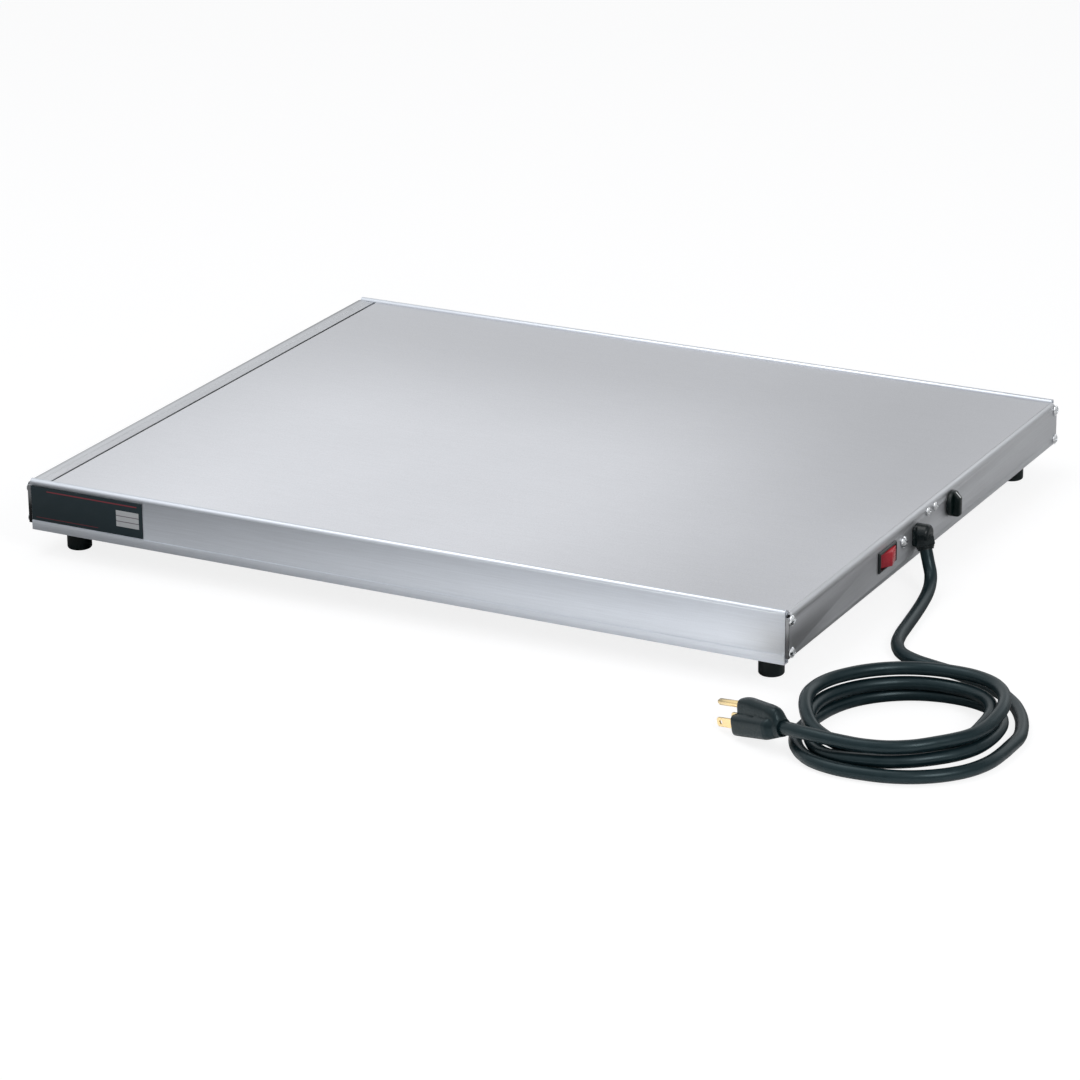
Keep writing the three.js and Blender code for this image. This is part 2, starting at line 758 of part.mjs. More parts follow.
function makeSwitchHousing() {
  const bezelBack = rightFace + seatGap;
  const bezelOutline = rectangle(-bezelLength / 2, bezelLength / 2, -bezelWidth / 2, bezelWidth / 2);
  const inset = 1 - 2 * bezelBevel / bezelWidth;
  const insetLong = 1 - 2 * bezelBevel / bezelLength;
  const bezel = new THREE.ExtrudeGeometry(bezelOutline, { depth: bezelHeight, bevelEnabled: false });
  const corners = bezel.attributes.position;
  for (let i = 0; i < corners.count; i += 1) {
    if (corners.getZ(i) > bezelHeight / 2) {
      corners.setXY(i, corners.getX(i) * insetLong, corners.getY(i) * inset);
    }
  }
  bezel.applyMatrix4(AXES.x).translate(bezelBack, switchPlaceY, switchPlaceZ);
  const [halfLength, halfWidth] = [switchBodyLength / 2, switchBodyWidth / 2];
  const body = block(
    switchRear, bezelBack + seatGap,
    switchPlaceY - halfLength, switchPlaceY + halfLength,
    switchPlaceZ - halfWidth, switchPlaceZ + halfWidth);
  const cavity = block(
    switchRear + switchRearWall, bezelBack + bezelHeight + overrun,
    switchPlaceY - cavityHalfLength, switchPlaceY + cavityHalfLength,
    switchPlaceZ - cavityHalfWidth, switchPlaceZ + cavityHalfWidth);
  const pivots = bar(
    'z', rockerPinRadius + seatGap, switchPlaceZ - switchBodyWidth, switchPlaceZ + switchBodyWidth,
    [rockerPivotX, switchPlaceY, 0], smallSides);
  const slots = bladePlaces.map((y) => block(
    switchRear - overrun, switchRear + switchRearWall + overrun,
    y - bladeThickness / 2 - seatGap, y + bladeThickness / 2 + seatGap,
    switchPlaceZ - bladeWidth / 2 - seatGap, switchPlaceZ + bladeWidth / 2 + seatGap));
  return solid(bezel).add(body).subtract(cavity).subtract(pivots).subtract(joined(slots));
}

addPiece('switch_housing', makeSwitchHousing(), plastic(0x101214, 0.35));

/** The lighted rocker: a shallow ridge on a curved skirt, turned about its pins along Z. */
function makeRocker() {
  const shoulder = Math.sqrt(rockerRadius ** 2 - rockerShoulder ** 2);
  const skirt = Math.sqrt(rockerRadius ** 2 - rockerSkirt ** 2);
  const points = [[rockerRidge, 0], [rockerShoulder, shoulder]];
  points.push([0, rockerRadius], [-rockerSkirt, skirt], [-rockerSkirt, -skirt], [0, -rockerRadius]);
  points.push([rockerShoulder, -shoulder]);
  const body = extruded('z', polygon(points), -rockerHalfWidth, rockerHalfWidth);
  const reach = rockerHalfWidth + rockerPinReach;
  const pins = bar('z', rockerPinRadius, -reach, reach, [0, 0, 0], smallSides);
  return body.add(pins).rotate([0, 0, -rockerRestAngle]).translate([rockerPivotX, switchPlaceY, switchPlaceZ]);
}

addPiece('switch_rocker', makeRocker(), plastic(0xb3202c, 0.25));

const lampPlace = [switchRear + switchRearWall + seatGap + lampRadius, switchPlaceY, switchPlaceZ];
addPiece('switch_lamp', bar('y', lampRadius, -lampLength / 2, lampLength / 2, lampPlace, smallSides), plastic(0xffa070, 0.2));

['line', 'load', 'neutral'].forEach((name, i) => {
  const y = bladePlaces[i];
  addPiece(`switch_blade_${name}`, block(
    bladeInner, switchRear + switchRearWall - seatGap,
    y - bladeThickness / 2, y + bladeThickness / 2,
    switchPlaceZ - bladeWidth / 2, switchPlaceZ + bladeWidth / 2), steel(0xc9b27a, 0.3));
});

// Ground screw with its nut and lug

addPiece('ground_screw', domeScrew(
  1, groundHeadRadius, groundHeadHeight, endScrewRim, groundScrewRadius, groundScrewLength),
screwSteel.clone()).position.set(rightFace + seatGap, groundPlaceY, groundPlaceZ);

const lugFace = rightInner - seatGap;
const lugBack = lugFace - groundLugThickness;

function makeGroundLug() {
  const ring = bar('x', groundLugRadius, lugBack, lugFace, [0, groundPlaceY, groundPlaceZ]);
  const tail = block(
    lugBack, lugFace, groundPlaceY - groundLugWidth / 2, groundPlaceY + groundLugWidth / 2,
    groundPlaceZ - groundLugTail, groundPlaceZ);
  const hole = bar(
    'x', groundScrewRadius + seatGap, lugBack - overrun, lugFace + overrun,
    [0, groundPlaceY, groundPlaceZ], smallSides);
  return ring.add(tail).subtract(hole);
}

addPiece('ground_lug', makeGroundLug(), steel(0xcfc6a0, 0.3));
addPiece('ground_nut', nut(
  'x', nutRadius, groundScrewRadius + seatGap, lugBack - seatGap - nutHeight, lugBack - seatGap,
  [0, groundPlaceY, groundPlaceZ]), screwSteel.clone());

// Strain relief

const reliefCentre = [0, reliefPlaceY, reliefPlaceZ];
const elbowX = rightFace + reliefElbowReach;
const elbowY = reliefPlaceY + reliefElbowShift;
const reliefExit = new THREE.Vector3(0, 0, -1)
  .applyAxisAngle(new THREE.Vector3(0, 1, 0), -degrees(reliefTilt))
  .applyAxisAngle(new THREE.Vector3(0, 0, 1), degrees(reliefHeading));
const collarTop = new THREE.Vector3(elbowX, elbowY, reliefCollarStart);
const reliefMouth = collarTop.clone().addScaledVector(reliefExit, reliefCollarLength);

function makeReliefBody() {
  const barrel = bar(
    'x', reliefBarrelRadius, rightFace - reliefBarrelInside, elbowX, reliefCentre);
  const dome = [];
  for (let i = 0; i <= curveFacets; i += 1) {
    const angle = (i / curveFacets) * Math.PI / 2;
    dome.push([
      reliefElbowRadius * Math.cos(angle),
      reliefElbowTop - reliefElbowRadius / 2 + (reliefElbowRadius / 2) * Math.sin(angle),
    ]);
  }
  dome[dome.length - 1][0] = 0;
  const elbow = turned(
    'z', [[0, reliefElbowBottom], [reliefElbowRadius, reliefElbowBottom], ...dome], [elbowX, elbowY, 0]);
  const profile = [[0, 0], [reliefMouthRadius, 0]];
  const ribPitch = (reliefCollarLength / 2) / reliefRibs;
  for (let i = 0; i < reliefRibs; i += 1) {
    const along = reliefRibGap + i * ribPitch;
    const share = along / reliefCollarLength;
    const radius = reliefMouthRadius + (reliefCollarRadius - reliefMouthRadius) * share;
    profile.push(
      [radius, along], [radius - reliefRibDepth, along],
      [radius - reliefRibDepth, along + reliefRibGap / 2], [radius, along + reliefRibGap / 2]);
  }
  profile.push([reliefCollarRadius, reliefCollarLength], [0, reliefCollarLength]);
  const points = profile.map(([radius, along]) => new THREE.Vector2(radius, along));
  const collar = new THREE.LatheGeometry(points, roundSides);
  const turn = new THREE.Quaternion().setFromUnitVectors(
    new THREE.Vector3(0, 1, 0), reliefExit.clone().negate());
  collar.applyQuaternion(turn).translate(...reliefMouth.toArray());
  const flangeFront = rightFace + 2 * seatGap + reliefFlangeThickness;
  const spout = elbow.add(solid(collar)).subtract(block(
    rightFace - overrun, flangeFront,
    reliefPlaceY - reliefElbowTop, reliefPlaceY + reliefElbowTop, 0, railHeight));
  return barrel.add(spout);
}

const reliefBlack = plastic(0x0e1113, 0.45);
addPiece('strain_relief_body', makeReliefBody(), reliefBlack);

const reliefBore = reliefBarrelRadius + seatGap;
const flangeBack = rightFace + seatGap;
const flangeOutline = roundedRectangle(
  reliefPlaceY, reliefPlaceZ, reliefFlangeLength, reliefFlangeHeight, reliefFlangeCorner);
const reliefFlange = extruded('x', flangeOutline, flangeBack, flangeBack + reliefFlangeThickness)
  .subtract(bar('x', reliefBore, flangeBack - overrun, flangeBack + reliefFlangeThickness + overrun, reliefCentre));
addPiece('strain_relief_flange', reliefFlange, reliefBlack.clone());
addPiece('strain_relief_locknut', nut(
  'x', reliefLockRadius, reliefBore, rightInner - seatGap - reliefLockThickness, rightInner - seatGap, reliefCentre),
steel(0xb8babd, 0.35));

// Terminal block with its two screws

const blockFront = rightInner - seatGap;
const blockRear = blockFront - blockDepth;
const blockScrewPlaces = [0, 1].map((i) => blockFirstY + blockScrewFirst + i * blockScrewSpacing);

function makeTerminalBlock() {
  const lastY = blockFirstY + blockLength;
  let body = block(blockRear, blockFront, blockFirstY, lastY, blockBottom, blockBottom + blockHeight);
  for (const y of blockScrewPlaces) {
    body = body.subtract(bar(
      'x', blockScrewRadius + seatGap, blockFront - blockScrewLength, blockFront + overrun,
      [0, y, blockScrewHeight], smallSides));
  }
  const middle = blockFirstY + blockLength / 2;
  const groove = block(
    blockRear - overrun, blockRear + blockGrooveDepth, middle - blockGrooveWidth / 2,
    middle + blockGrooveWidth / 2, blockBottom - overrun, blockBottom + blockHeight + overrun);
  return body.subtract(groove);
}

addPiece('terminal_block', makeTerminalBlock(), plastic(0x2b2b2e, 0.6));
['front', 'rear'].forEach((row, i) => {
  const screw = addPiece(`terminal_block_screw_${row}`, domeScrew(
    1, blockScrewHeadRadius, blockScrewHeadHeight, endScrewRim, blockScrewRadius, blockScrewLength),
  screwSteel.clone());
  screw.position.set(rightFace + seatGap, blockScrewPlaces[i], blockScrewHeight);
});

// Thermostat, its shaft, nut and knob

const thermostatFront = rightInner - seatGap;
const thermostatRear = thermostatFront - thermostatDepth;
const knobCentre = [0, knobPlaceY, knobPlaceZ];
const shaftBore = shaftRadius + seatGap;

function makeThermostat() {
  const box = block(
    thermostatRear, thermostatFront,
    knobPlaceY - thermostatWidth / 2, knobPlaceY + thermostatWidth / 2,
    knobPlaceZ - thermostatHeight / 2, knobPlaceZ + thermostatHeight / 2);
  const bushing = bar('x', bushingRadius, thermostatFront - overrun, rightFace + bushingReach, knobCentre);
  const bore = bar(
    'x', shaftBore, rightFace - shaftInside - seatGap, rightFace + bushingReach + overrun, knobCentre);
  return box.add(bushing).subtract(bore);
}

addPiece('thermostat_body', makeThermostat(), plastic(0x3a3a3c, 0.55));
addPiece('thermostat_shaft', bar(
  'x', shaftRadius, rightFace - shaftInside, rightFace + shaftReach, knobCentre), steel(0xb0a070, 0.35));
addPiece('thermostat_nut', nut(
  'x', thermostatNutRadius, bushingRadius + seatGap,
  rightFace + seatGap, rightFace + seatGap + thermostatNutThickness, knobCentre), screwSteel.clone());

/** The knob: a round skirt with a pointer grip whose nose slopes down to the skirt's edge. */
function makeKnob() {
  const back = rightFace + knobBack;
  const skirtFront = back + knobSkirtThickness;
  const front = rightFace + knobReach;
  const chamfer = knobGripShort;
  const skirt = turned('x', [
    [0, back], [knobRadius, back], [knobRadius, skirtFront - chamfer],
    [knobRadius - chamfer, skirtFront], [0, skirtFront],
  ], knobCentre);
  const end = knobRadius - knobGripShort;
  const side = new THREE.Shape();
  side.moveTo(skirtFront - chamfer, -end);
  side.lineTo(front - knobGripTaper, -end);
  side.lineTo(front, -end + knobGripTaper);
  side.lineTo(front, knobNoseShoulder);
  side.lineTo(rightFace + knobNoseHeight, end);
  side.lineTo(skirtFront - chamfer, end);
  const halfGrip = knobGripWidth / 2;
  const gripGeometry = new THREE.ExtrudeGeometry(side, { depth: knobGripWidth, bevelEnabled: false });
  gripGeometry.applyMatrix4(AXES.y).translate(0, knobPlaceY + halfGrip, knobPlaceZ);
  const corners = gripGeometry.attributes.position;
  for (let i = 0; i < corners.count; i += 1) {
    const out = (corners.getX(i) - skirtFront) / (front - skirtFront);
    const sign = Math.sign(corners.getY(i) - knobPlaceY);
    corners.setY(i, corners.getY(i) - sign * knobGripTaper * Math.max(out, 0));
  }
  const recess = bar('x', knobRecessRadius, back - overrun, back + knobRecessDepth, knobCentre);
  const bore = bar('x', shaftBore, back - overrun, rightFace + shaftReach + seatGap, knobCentre);
  return skirt.add(solid(gripGeometry)).subtract(recess).subtract(bore);
}

addPiece('thermostat_knob', makeKnob(), plastic(0x0c0f10, 0.35));

// Bulb under the deck with its clip, and the capillary tube from the thermostat

const bulbX = railLength - bulbFromRight;
const bulbZ = deckUnder - seatGap - bulbRadius;
const bulbEndY = bulbStartY + bulbLength;

function makeBulbClip() {
  const inner = bulbRadius + seatGap;
  const outer = inner + clipThickness;
  const top = deckUnder - seatGap;
  const middle = (bulbStartY + bulbEndY) / 2;
  const [y0, y1] = [middle - clipWidth / 2, middle + clipWidth / 2];
  const strap = joined([
    bar('y', outer, y0, y1, [bulbX, 0, bulbZ]),
    block(bulbX - outer, bulbX + outer, y0, y1, bulbZ, top),
    block(bulbX - outer - clipEar, bulbX + outer + clipEar, y0, y1, top - clipThickness, top),
  ]);
  const room = joined([
    bar('y', inner, y0 - overrun, y1 + overrun, [bulbX, 0, bulbZ]),
    block(bulbX - inner, bulbX + inner, y0 - overrun, y1 + overrun, bulbZ, top + overrun),
  ]);
  return strap.subtract(room);
}

addPiece('bulb_clip', makeBulbClip(), steel(0xb4b8bb, 0.4));

/** Places along a line that leaves both ends straight and hangs slack between them. */
function slackRoute(start, startWay, end, endWay, stub, slack) {
  const [from, to] = [new THREE.Vector3(...start), new THREE.Vector3(...end)];
  const out = from.clone().addScaledVector(new THREE.Vector3(...startWay), stub);
  const back = to.clone().addScaledVector(new THREE.Vector3(...endWay), stub);
  const middle = out.clone().lerp(back, 0.5).add(new THREE.Vector3(...slack));
  return [from, out, middle, back, to].map((place) => place.toArray());
}

// The bulb and its thin tube are brazed into one piece.
const bulb = bar('y', bulbRadius, bulbStartY, bulbEndY, [bulbX, 0, bulbZ], smallSides);
const capillary = cordAlong(slackRoute(
  [(thermostatFront + thermostatRear) / 2, knobPlaceY - thermostatWidth / 2 - seatGap, knobPlaceZ - capillaryDrop],
  [0, -1, 0], [bulbX, bulbEndY - seatGap, bulbZ], [0, 1, 0], capillaryLead, [0, 0, 0],
), capillaryRadius, wireSteps, wireSides);
addPiece('capillary_bulb', bulb.add(capillary), steel(0xb87333, 0.4));

// Wires of the control compartment

const reliefInner = rightFace - reliefBarrelInside - seatGap;
const bladeEnd = bladeInner - seatGap;
const blockBack = blockRear - seatGap;
const thermostatBack = thermostatRear - seatGap;
const blanketEdge = blanketRight + seatGap;

const inwards = [-1, 0, 0];

function wireBetween(start, end, endWay, slack) {
  return cordAlong(slackRoute(start, inwards, end, endWay, wireStub, slack), wireRadius, wireSteps, wireSides);
}

function addWire(name, body, color) {
  addPiece(name, body, plastic(color, 0.5));
}

const [lineConductor, neutralConductor] = [-1, 1].map((side) => [
  reliefInner, reliefPlaceY + side * conductorSpacing, reliefPlaceZ + conductorSpacing / 2]);
const groundConductor = [reliefInner, reliefPlaceY, reliefPlaceZ - conductorSpacing];
const [lineBlade, loadBlade, neutralBlade] = bladePlaces.map((y) => [bladeEnd, y, switchPlaceZ]);
const [switchedTab, elementTab] = [-1, 1].map((side) => [
  thermostatBack, knobPlaceY + side * thermostatTabSpacing, knobPlaceZ - thermostatTabDrop]);
const [neutralHole, switchedHole] = leadHoles.map((y) => [dividerLeft - wireRadius, y, leadHoleHeight]);

addWire('wire_line', wireBetween(
  lineConductor, lineBlade, inwards, [-wireSlack, 0, -wireSlack]), 0x1a1a1a);

// The neutral of the cord and the one of the switch lamp share one crimped sleeve at the block.
const sleeveY = blockFirstY + ferruleInset;
const sleeveEnd = blockBack - ferruleLength;
const [cordEntry, lampEntry] = [-1, 1].map((side) => [
  sleeveEnd + wireRadius, sleeveY + side * wireRadius, ferruleHeight]);
addWire('wires_neutral', joined([
  bar('x', ferruleRadius, sleeveEnd, blockBack, [0, sleeveY, ferruleHeight], smallSides),
  wireBetween(neutralConductor, cordEntry, inwards, [-wireSlack / 2, 0, 0]),
  wireBetween(neutralBlade, lampEntry, inwards, [-wireSlack, 0, wireSlack / 2]),
]), 0xe6e6e2);
addWire('wire_ground', wireBetween(
  groundConductor, [lugBack - seatGap, groundPlaceY, groundPlaceZ - groundLugTail + wireRadius],
  inwards, [-wireSlack / 2, 0, -wireSlack / 2]), 0x2f7d3b);
addWire('wire_switched', wireBetween(
  loadBlade, switchedTab, inwards, [-2 * wireSlack, 0, -wireSlack]), 0xb03030);
addWire('element_lead_switched', wireBetween(
  elementTab, switchedHole, [1, 0, 0], [0, 0, -wireSlack / 2]), 0xd8d2c0);
addWire('element_lead_neutral', wireBetween(
  [blockBack, blockFirstY + blockLength - ferruleInset, ferruleHeight], neutralHole,
  [1, 0, 0], [0, 0, 0]), 0xd8d2c0);

// Power cord: the lead to the coil, the coil and the tail to the plug

/** Smooth value between equally spaced stations, by a Catmull-Rom cubic. */
function stationValue(values, place, closed = false) {
  const count = values.length;
  const pick = closed
    ? (i) => values[((i % count) + count) % count]
    : (i) => values[Math.min(Math.max(i, 0), count - 1)];
  const i = closed ? Math.floor(place) : Math.min(Math.max(Math.floor(place), 0), count - 2);
  const f = place - i;
  const [before, from, to, after] = [pick(i - 1), pick(i), pick(i + 1), pick(i + 2)];
  const [start, end] = [(to - before) / 2, (after - from) / 2];
  return ((2 * from - 2 * to + start + end) * f + (3 * to - 3 * from - 2 * start - end)) * f * f
    + start * f + from;
}

/** How a loop lies on the loop one turn before it: inwards and up, by its lean there. */
function leanOffset(turn) {
  const station = (turn - 360) / leanStationAngle;
  const lean = degrees(stationValue(leanAngles, station));
  const spacing = stationValue(leanSpacingShares, station) * cordDiameter;
  return [-spacing * Math.cos(lean), spacing * Math.sin(lean)];
}

/** Radius and height of the cord's centre at an angle counted through all turns. */
function coilSection(turn) {
  if (turn >= 360) {
    const [radius, height] = coilSection(turn - 360);
    const [inwards, up] = leanOffset(turn);
    return [radius + inwards, height + up];
  }
  const climb = THREE.MathUtils.smoothstep(turn, coilClimbStart, 360);
  const [inwards, up] = leanOffset(360);
  const share = stationValue(loopRadiusShares, (turn / 360) * loopRadiusShares.length, true);
  return [loopRadius * share + climb * inwards, cordHeight + climb * up];
}

function coilPlace(turn) {
  const [radius, height] = coilSection(turn);
  const angle = -degrees(turn);
  return new THREE.Vector3(
    coilCentreX + radius * Math.cos(angle), coilCentreY + radius * Math.sin(angle), height - footDrop);
}

function coilPath() {
  const turnEnd = coilTurns * 360 + coilExtraAngle;
  const steps = Math.round((turnEnd / 360) * coilStepsPerLoop);
  const places = [];
  for (let i = 0; i <= steps; i += 1) places.push(coilPlace((i / steps) * turnEnd));
  const startWay = coilPlace(0).sub(coilPlace(coilWayAngle)).normalize();
  const endWay = coilPlace(turnEnd).sub(coilPlace(turnEnd - coilWayAngle)).normalize();
  places.unshift(coilPlace(0).addScaledVector(startWay, cordDiameter));
  places.push(coilPlace(turnEnd).addScaledVector(endWay, cordDiameter));
  return { places, startWay, endWay };
}

/** One unbroken tube of flat-sided sections along the places, closed at both ends. */
function coilTube(places) {
  const vertices = [];
  const triangles = [];
  const count = places.length;
  for (let i = 0; i < count; i += 1) {
    const before = places[Math.max(i - 1, 0)];
    const after = places[Math.min(i + 1, count - 1)];
    const way = after.clone().sub(before).normalize();
    const side = new THREE.Vector3(0, 0, 1).cross(way).normalize();
    const up = way.clone().cross(side);
    for (let k = 0; k < coilSides; k += 1) {
      const angle = ((k + 0.5) / coilSides) * Math.PI * 2;
      const corner = places[i].clone()
        .addScaledVector(side, cordRadius * Math.cos(angle))
        .addScaledVector(up, cordRadius * Math.sin(angle));
      vertices.push(corner.x, corner.y, corner.z);
    }
  }
  for (let i = 0; i < count - 1; i += 1) {
    for (let k = 0; k < coilSides; k += 1) {
      const next = (k + 1) % coilSides;
      const [a, b] = [i * coilSides + k, i * coilSides + next];
      const [c, d] = [a + coilSides, b + coilSides];
      triangles.push(a, b, d, a, d, c);
    }
  }
  const lastRing = (count - 1) * coilSides;
  for (let k = 1; k < coilSides - 1; k += 1) {
    triangles.push(0, k + 1, k, lastRing, lastRing + k, lastRing + k + 1);
  }
  const geometry = new THREE.BufferGeometry();
  geometry.setAttribute('position', new THREE.Float32BufferAttribute(vertices, 3));
  geometry.setIndex(triangles);
  return solid(geometry);
}

/** Least gap between the coil's own loops, measured on its centre line. */
function leastLoopGap() {
  const turnEnd = coilTurns * 360 + coilExtraAngle;
  const stepAngle = 4;
  const samples = [];
  for (let turn = 0; turn <= turnEnd; turn += stepAngle) samples.push(coilPlace(turn));
  let least = Infinity;
  const apart = 180 / stepAngle;
  for (let i = 0; i < samples.length; i += 1) {
    for (let j = i + apart; j < samples.length; j += 1) {
      least = Math.min(least, samples[i].distanceTo(samples[j]));
    }
  }
  return least - cordDiameter;
}

const coil = coilPath();
console.log(`coil: least gap between loops ${leastLoopGap().toFixed(2)} mm`);

const onTable = cordHeight - footDrop;
const mouthEnd = reliefMouth.clone().addScaledVector(reliefExit, seatGap);
const mouthAhead = reliefMouth.clone().addScaledVector(reliefExit, cordDiameter);
const coilStart = coil.places[0].clone().addScaledVector(coil.startWay, seatGap);
const coilApproach = coil.places[0].clone().addScaledVector(coil.startWay, cordRadius);
const leadRoute = [
  mouthEnd.toArray(),
  mouthAhead.toArray(),
  [627.2, 213.2, 15.6 - footDrop],
  [629.8, 206.4, 11 - footDrop],
  [632.1, 196.5, 8 - footDrop],
  [634.6, 181, 5.9 - footDrop],
  [637.2, 163, onTable + 0.2],
  [640.6, 140, onTable],
  [643.8, 120, onTable],
  [648.6, 103.5, onTable],
  [658, 89.5, onTable],
  [671.5, 81.5, onTable],
  [690, 76, onTable],
  [713, 70, onTable],
  [740, 57, onTable],
  [760.5, 39.5, onTable],
  [774.2, 19.5, onTable],
  [782.5, 0, onTable],
  [786, -14, onTable],
  coilApproach.toArray(),
  coilStart.toArray(),
];
const cordBlack = plastic(0x171d20, 0.4);
addPiece('power_cord', cordAlong(leadRoute, cordRadius, leadSteps, cordSides), cordBlack);
addPiece('power_cord_coil', coilTube(coil.places), cordBlack.clone());

const plug = new THREE.Group();
plug.position.set(plugFaceX, plugFaceY, cordLift - footDrop);
plug.rotation.set(0, -degrees(plugPitch), degrees(plugTurn), 'ZYX');
shelf.add(plug);
plug.updateMatrix();

const neckEnd = new THREE.Vector3(plugLength + seatGap, 0, plugNeckHeight).applyMatrix4(plug.matrix);
const neckAhead = new THREE.Vector3(plugLength + cordRadius, 0, plugNeckHeight).applyMatrix4(plug.matrix);
const lastCoil = coil.places[coil.places.length - 1];
const tailRoute = [
  lastCoil.clone().addScaledVector(coil.endWay, seatGap).toArray(),
  lastCoil.clone().addScaledVector(coil.endWay, cordRadius).toArray(),
  [744, -93.2, 21.4 - footDrop],
  [730, -100.8, 21 - footDrop],
  [713, -104.9, 20.9 - footDrop],
  [695.5, -105.3, 21.1 - footDrop],
  [680.5, -104.3, 21.2 - footDrop],
  [668.5, -102, 20.8 - footDrop],
  neckAhead.toArray(),
  neckEnd.toArray(),
];
addPiece('power_cord_tail', cordAlong(tailRoute, cordRadius, tailSteps, cordSides), cordBlack.clone());

// Plug

function makePlugBody() {
  const lobe = (outline, width) => {
    const bevel = { bevelEnabled: true, bevelThickness: plugEdge, bevelSize: plugEdge, bevelOffset: -plugEdge };
    const geometry = new THREE.ExtrudeGeometry(outline, {
      depth: width - 2 * plugEdge, ...bevel, bevelSegments: 3, curveSegments: curveFacets,
    });
    geometry.translate(0, 0, -(width - 2 * plugEdge) / 2);
    return solid(geometry.applyMatrix4(AXES.y));
  };
  const lower = lobe(rectangle(0, plugLobeLength, 0, plugLobeHeight), plugLobeWidth);
  const upper = lobe(polygon([
    [0, plugLobeHeight / 2], [plugUpperSlopeStart, plugLobeHeight / 2], [plugUpperEnd, plugNeckHeight - plugEdge],
    [plugUpperEnd, plugUpperEndHeight], [plugUpperSlopeStart, plugUpperBack], [0, plugUpperTop],
  ]), plugUpperWidth);
  const neck = [[0, plugNeckStart], [plugNeckRadius, plugNeckStart], [plugNeckRadius, plugLobeLength + plugEdge]];
  const ribStart = plugLength - plugRibs * plugRibPitch;
  for (let i = 0; i < plugRibs; i += 1) {
    const share = i / plugRibs;
    const radius = plugNeckRadius + (plugNeckEndRadius - plugNeckRadius) * share;
    const from = ribStart + i * plugRibPitch;
    neck.push([radius, from], [radius, from + plugRibPitch / 2]);
    neck.push([radius - plugRibDepth, from + plugRibPitch / 2], [radius - plugRibDepth, from + plugRibPitch]);
  }
  neck.push([0, plugLength]);
  return lower.add(upper).add(turned('x', neck, [0, 0, plugNeckHeight]));
}

const bladeSides = [-1, 1].map((side) => side * bladePinSpacing / 2);
const groundPinLine = bladePinLine + groundPinAbove;

function plugPockets() {
  const pockets = bladeSides.map((y) => block(
    -overrun, bladePinRoot + seatGap,
    y - bladePinThickness / 2 - seatGap, y + bladePinThickness / 2 + seatGap,
    bladePinLine - bladePinWidth / 2 - seatGap, bladePinLine + bladePinWidth / 2 + seatGap));
  pockets.push(bar(
    'x', groundPinRadius + seatGap, -overrun, bladePinRoot + seatGap, [0, 0, groundPinLine], smallSides));
  return joined(pockets);
}

addPiece('plug_body', makePlugBody().subtract(plugPockets()), plastic(0x12171a, 0.4), plug);

const brass = steel(0xc9a96a, 0.3);
['plug_blade_front', 'plug_blade_rear'].forEach((name, i) => {
  const [low, high] = [bladePinLine - bladePinWidth / 2, bladePinLine + bladePinWidth / 2];
  const outline = polygon([
    [bladePinRoot, low], [bladePinRoot, high], [-bladePinLength + bladePinChamfer, high],
    [-bladePinLength, high - bladePinChamfer], [-bladePinLength, low + bladePinChamfer],
    [-bladePinLength + bladePinChamfer, low],
  ]);
  const y = bladeSides[i];
  const blade = extruded('y', outline, y - bladePinThickness / 2, y + bladePinThickness / 2);
  const hole = bar(
    'y', bladePinHole, -overrun, overrun, [-bladePinLength + bladePinHoleInset, y, bladePinLine], smallSides);
  addPiece(name, blade.subtract(hole), brass.clone(), plug);
});

addPiece('plug_ground_pin', turned('x', [
  [0, -groundPinLength], [groundPinRadius / 2, -groundPinLength],
  [groundPinRadius, -groundPinLength + groundPinRadius], [groundPinRadius, bladePinRoot], [0, bladePinRoot],
], [0, 0, groundPinLine], smallSides), brass.clone(), plug);

export default heatedShelf;
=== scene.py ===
import bmesh
import bpy
import numpy as np
from mathutils import Matrix


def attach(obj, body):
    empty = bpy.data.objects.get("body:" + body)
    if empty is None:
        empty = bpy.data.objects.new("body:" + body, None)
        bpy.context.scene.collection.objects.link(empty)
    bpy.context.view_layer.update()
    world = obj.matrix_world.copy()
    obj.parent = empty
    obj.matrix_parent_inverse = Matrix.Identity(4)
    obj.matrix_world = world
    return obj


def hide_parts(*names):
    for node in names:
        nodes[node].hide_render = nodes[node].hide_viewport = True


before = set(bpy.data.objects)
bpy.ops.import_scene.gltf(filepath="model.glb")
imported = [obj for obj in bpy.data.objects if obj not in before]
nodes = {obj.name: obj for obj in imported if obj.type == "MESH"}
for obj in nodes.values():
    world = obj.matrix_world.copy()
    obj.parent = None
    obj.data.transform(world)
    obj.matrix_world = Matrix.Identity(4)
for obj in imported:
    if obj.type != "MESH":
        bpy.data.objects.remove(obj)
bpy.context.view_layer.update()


# Studio. A camera fitted to the photograph's lines, a white floor under soft daylight, and a
# large soft lamp overhead. The steel mirrors the floor and the walls of the room, so these
# carry the pale and dark fields that shade its brushed faces.

def node(tree, kind, inputs=None, **settings):
    """A shader node: inputs are values, or sockets that are linked."""
    made = tree.nodes.new(kind)
    for key, value in settings.items():
        setattr(made, key, value)
    for key, value in (inputs or {}).items():
        if isinstance(value, bpy.types.NodeSocket):
            tree.links.new(value, made.inputs[key])
        else:
            made.inputs[key].default_value = value
    return made


def math(tree, operation, a, b=0.0, clamp=False):
    return node(tree, "ShaderNodeMath", {0: a, 1: b}, operation=operation, use_clamp=clamp).outputs[0]


def mixed(tree, share, first, second, blend="MIX"):
    """Two colours mixed: first (1 - share) + second share, or their product for "MULTIPLY"."""
    return node(tree, "ShaderNodeMix", {0: share, 6: first, 7: second},
                data_type="RGBA", blend_type=blend).outputs[2]


def place_of(material):
    """The piece's own places, as separate coordinates."""
    tree = material.node_tree
    whole = node(tree, "ShaderNodeTexCoord").outputs["Object"]
    return node(tree, "ShaderNodeSeparateXYZ", {0: whole})


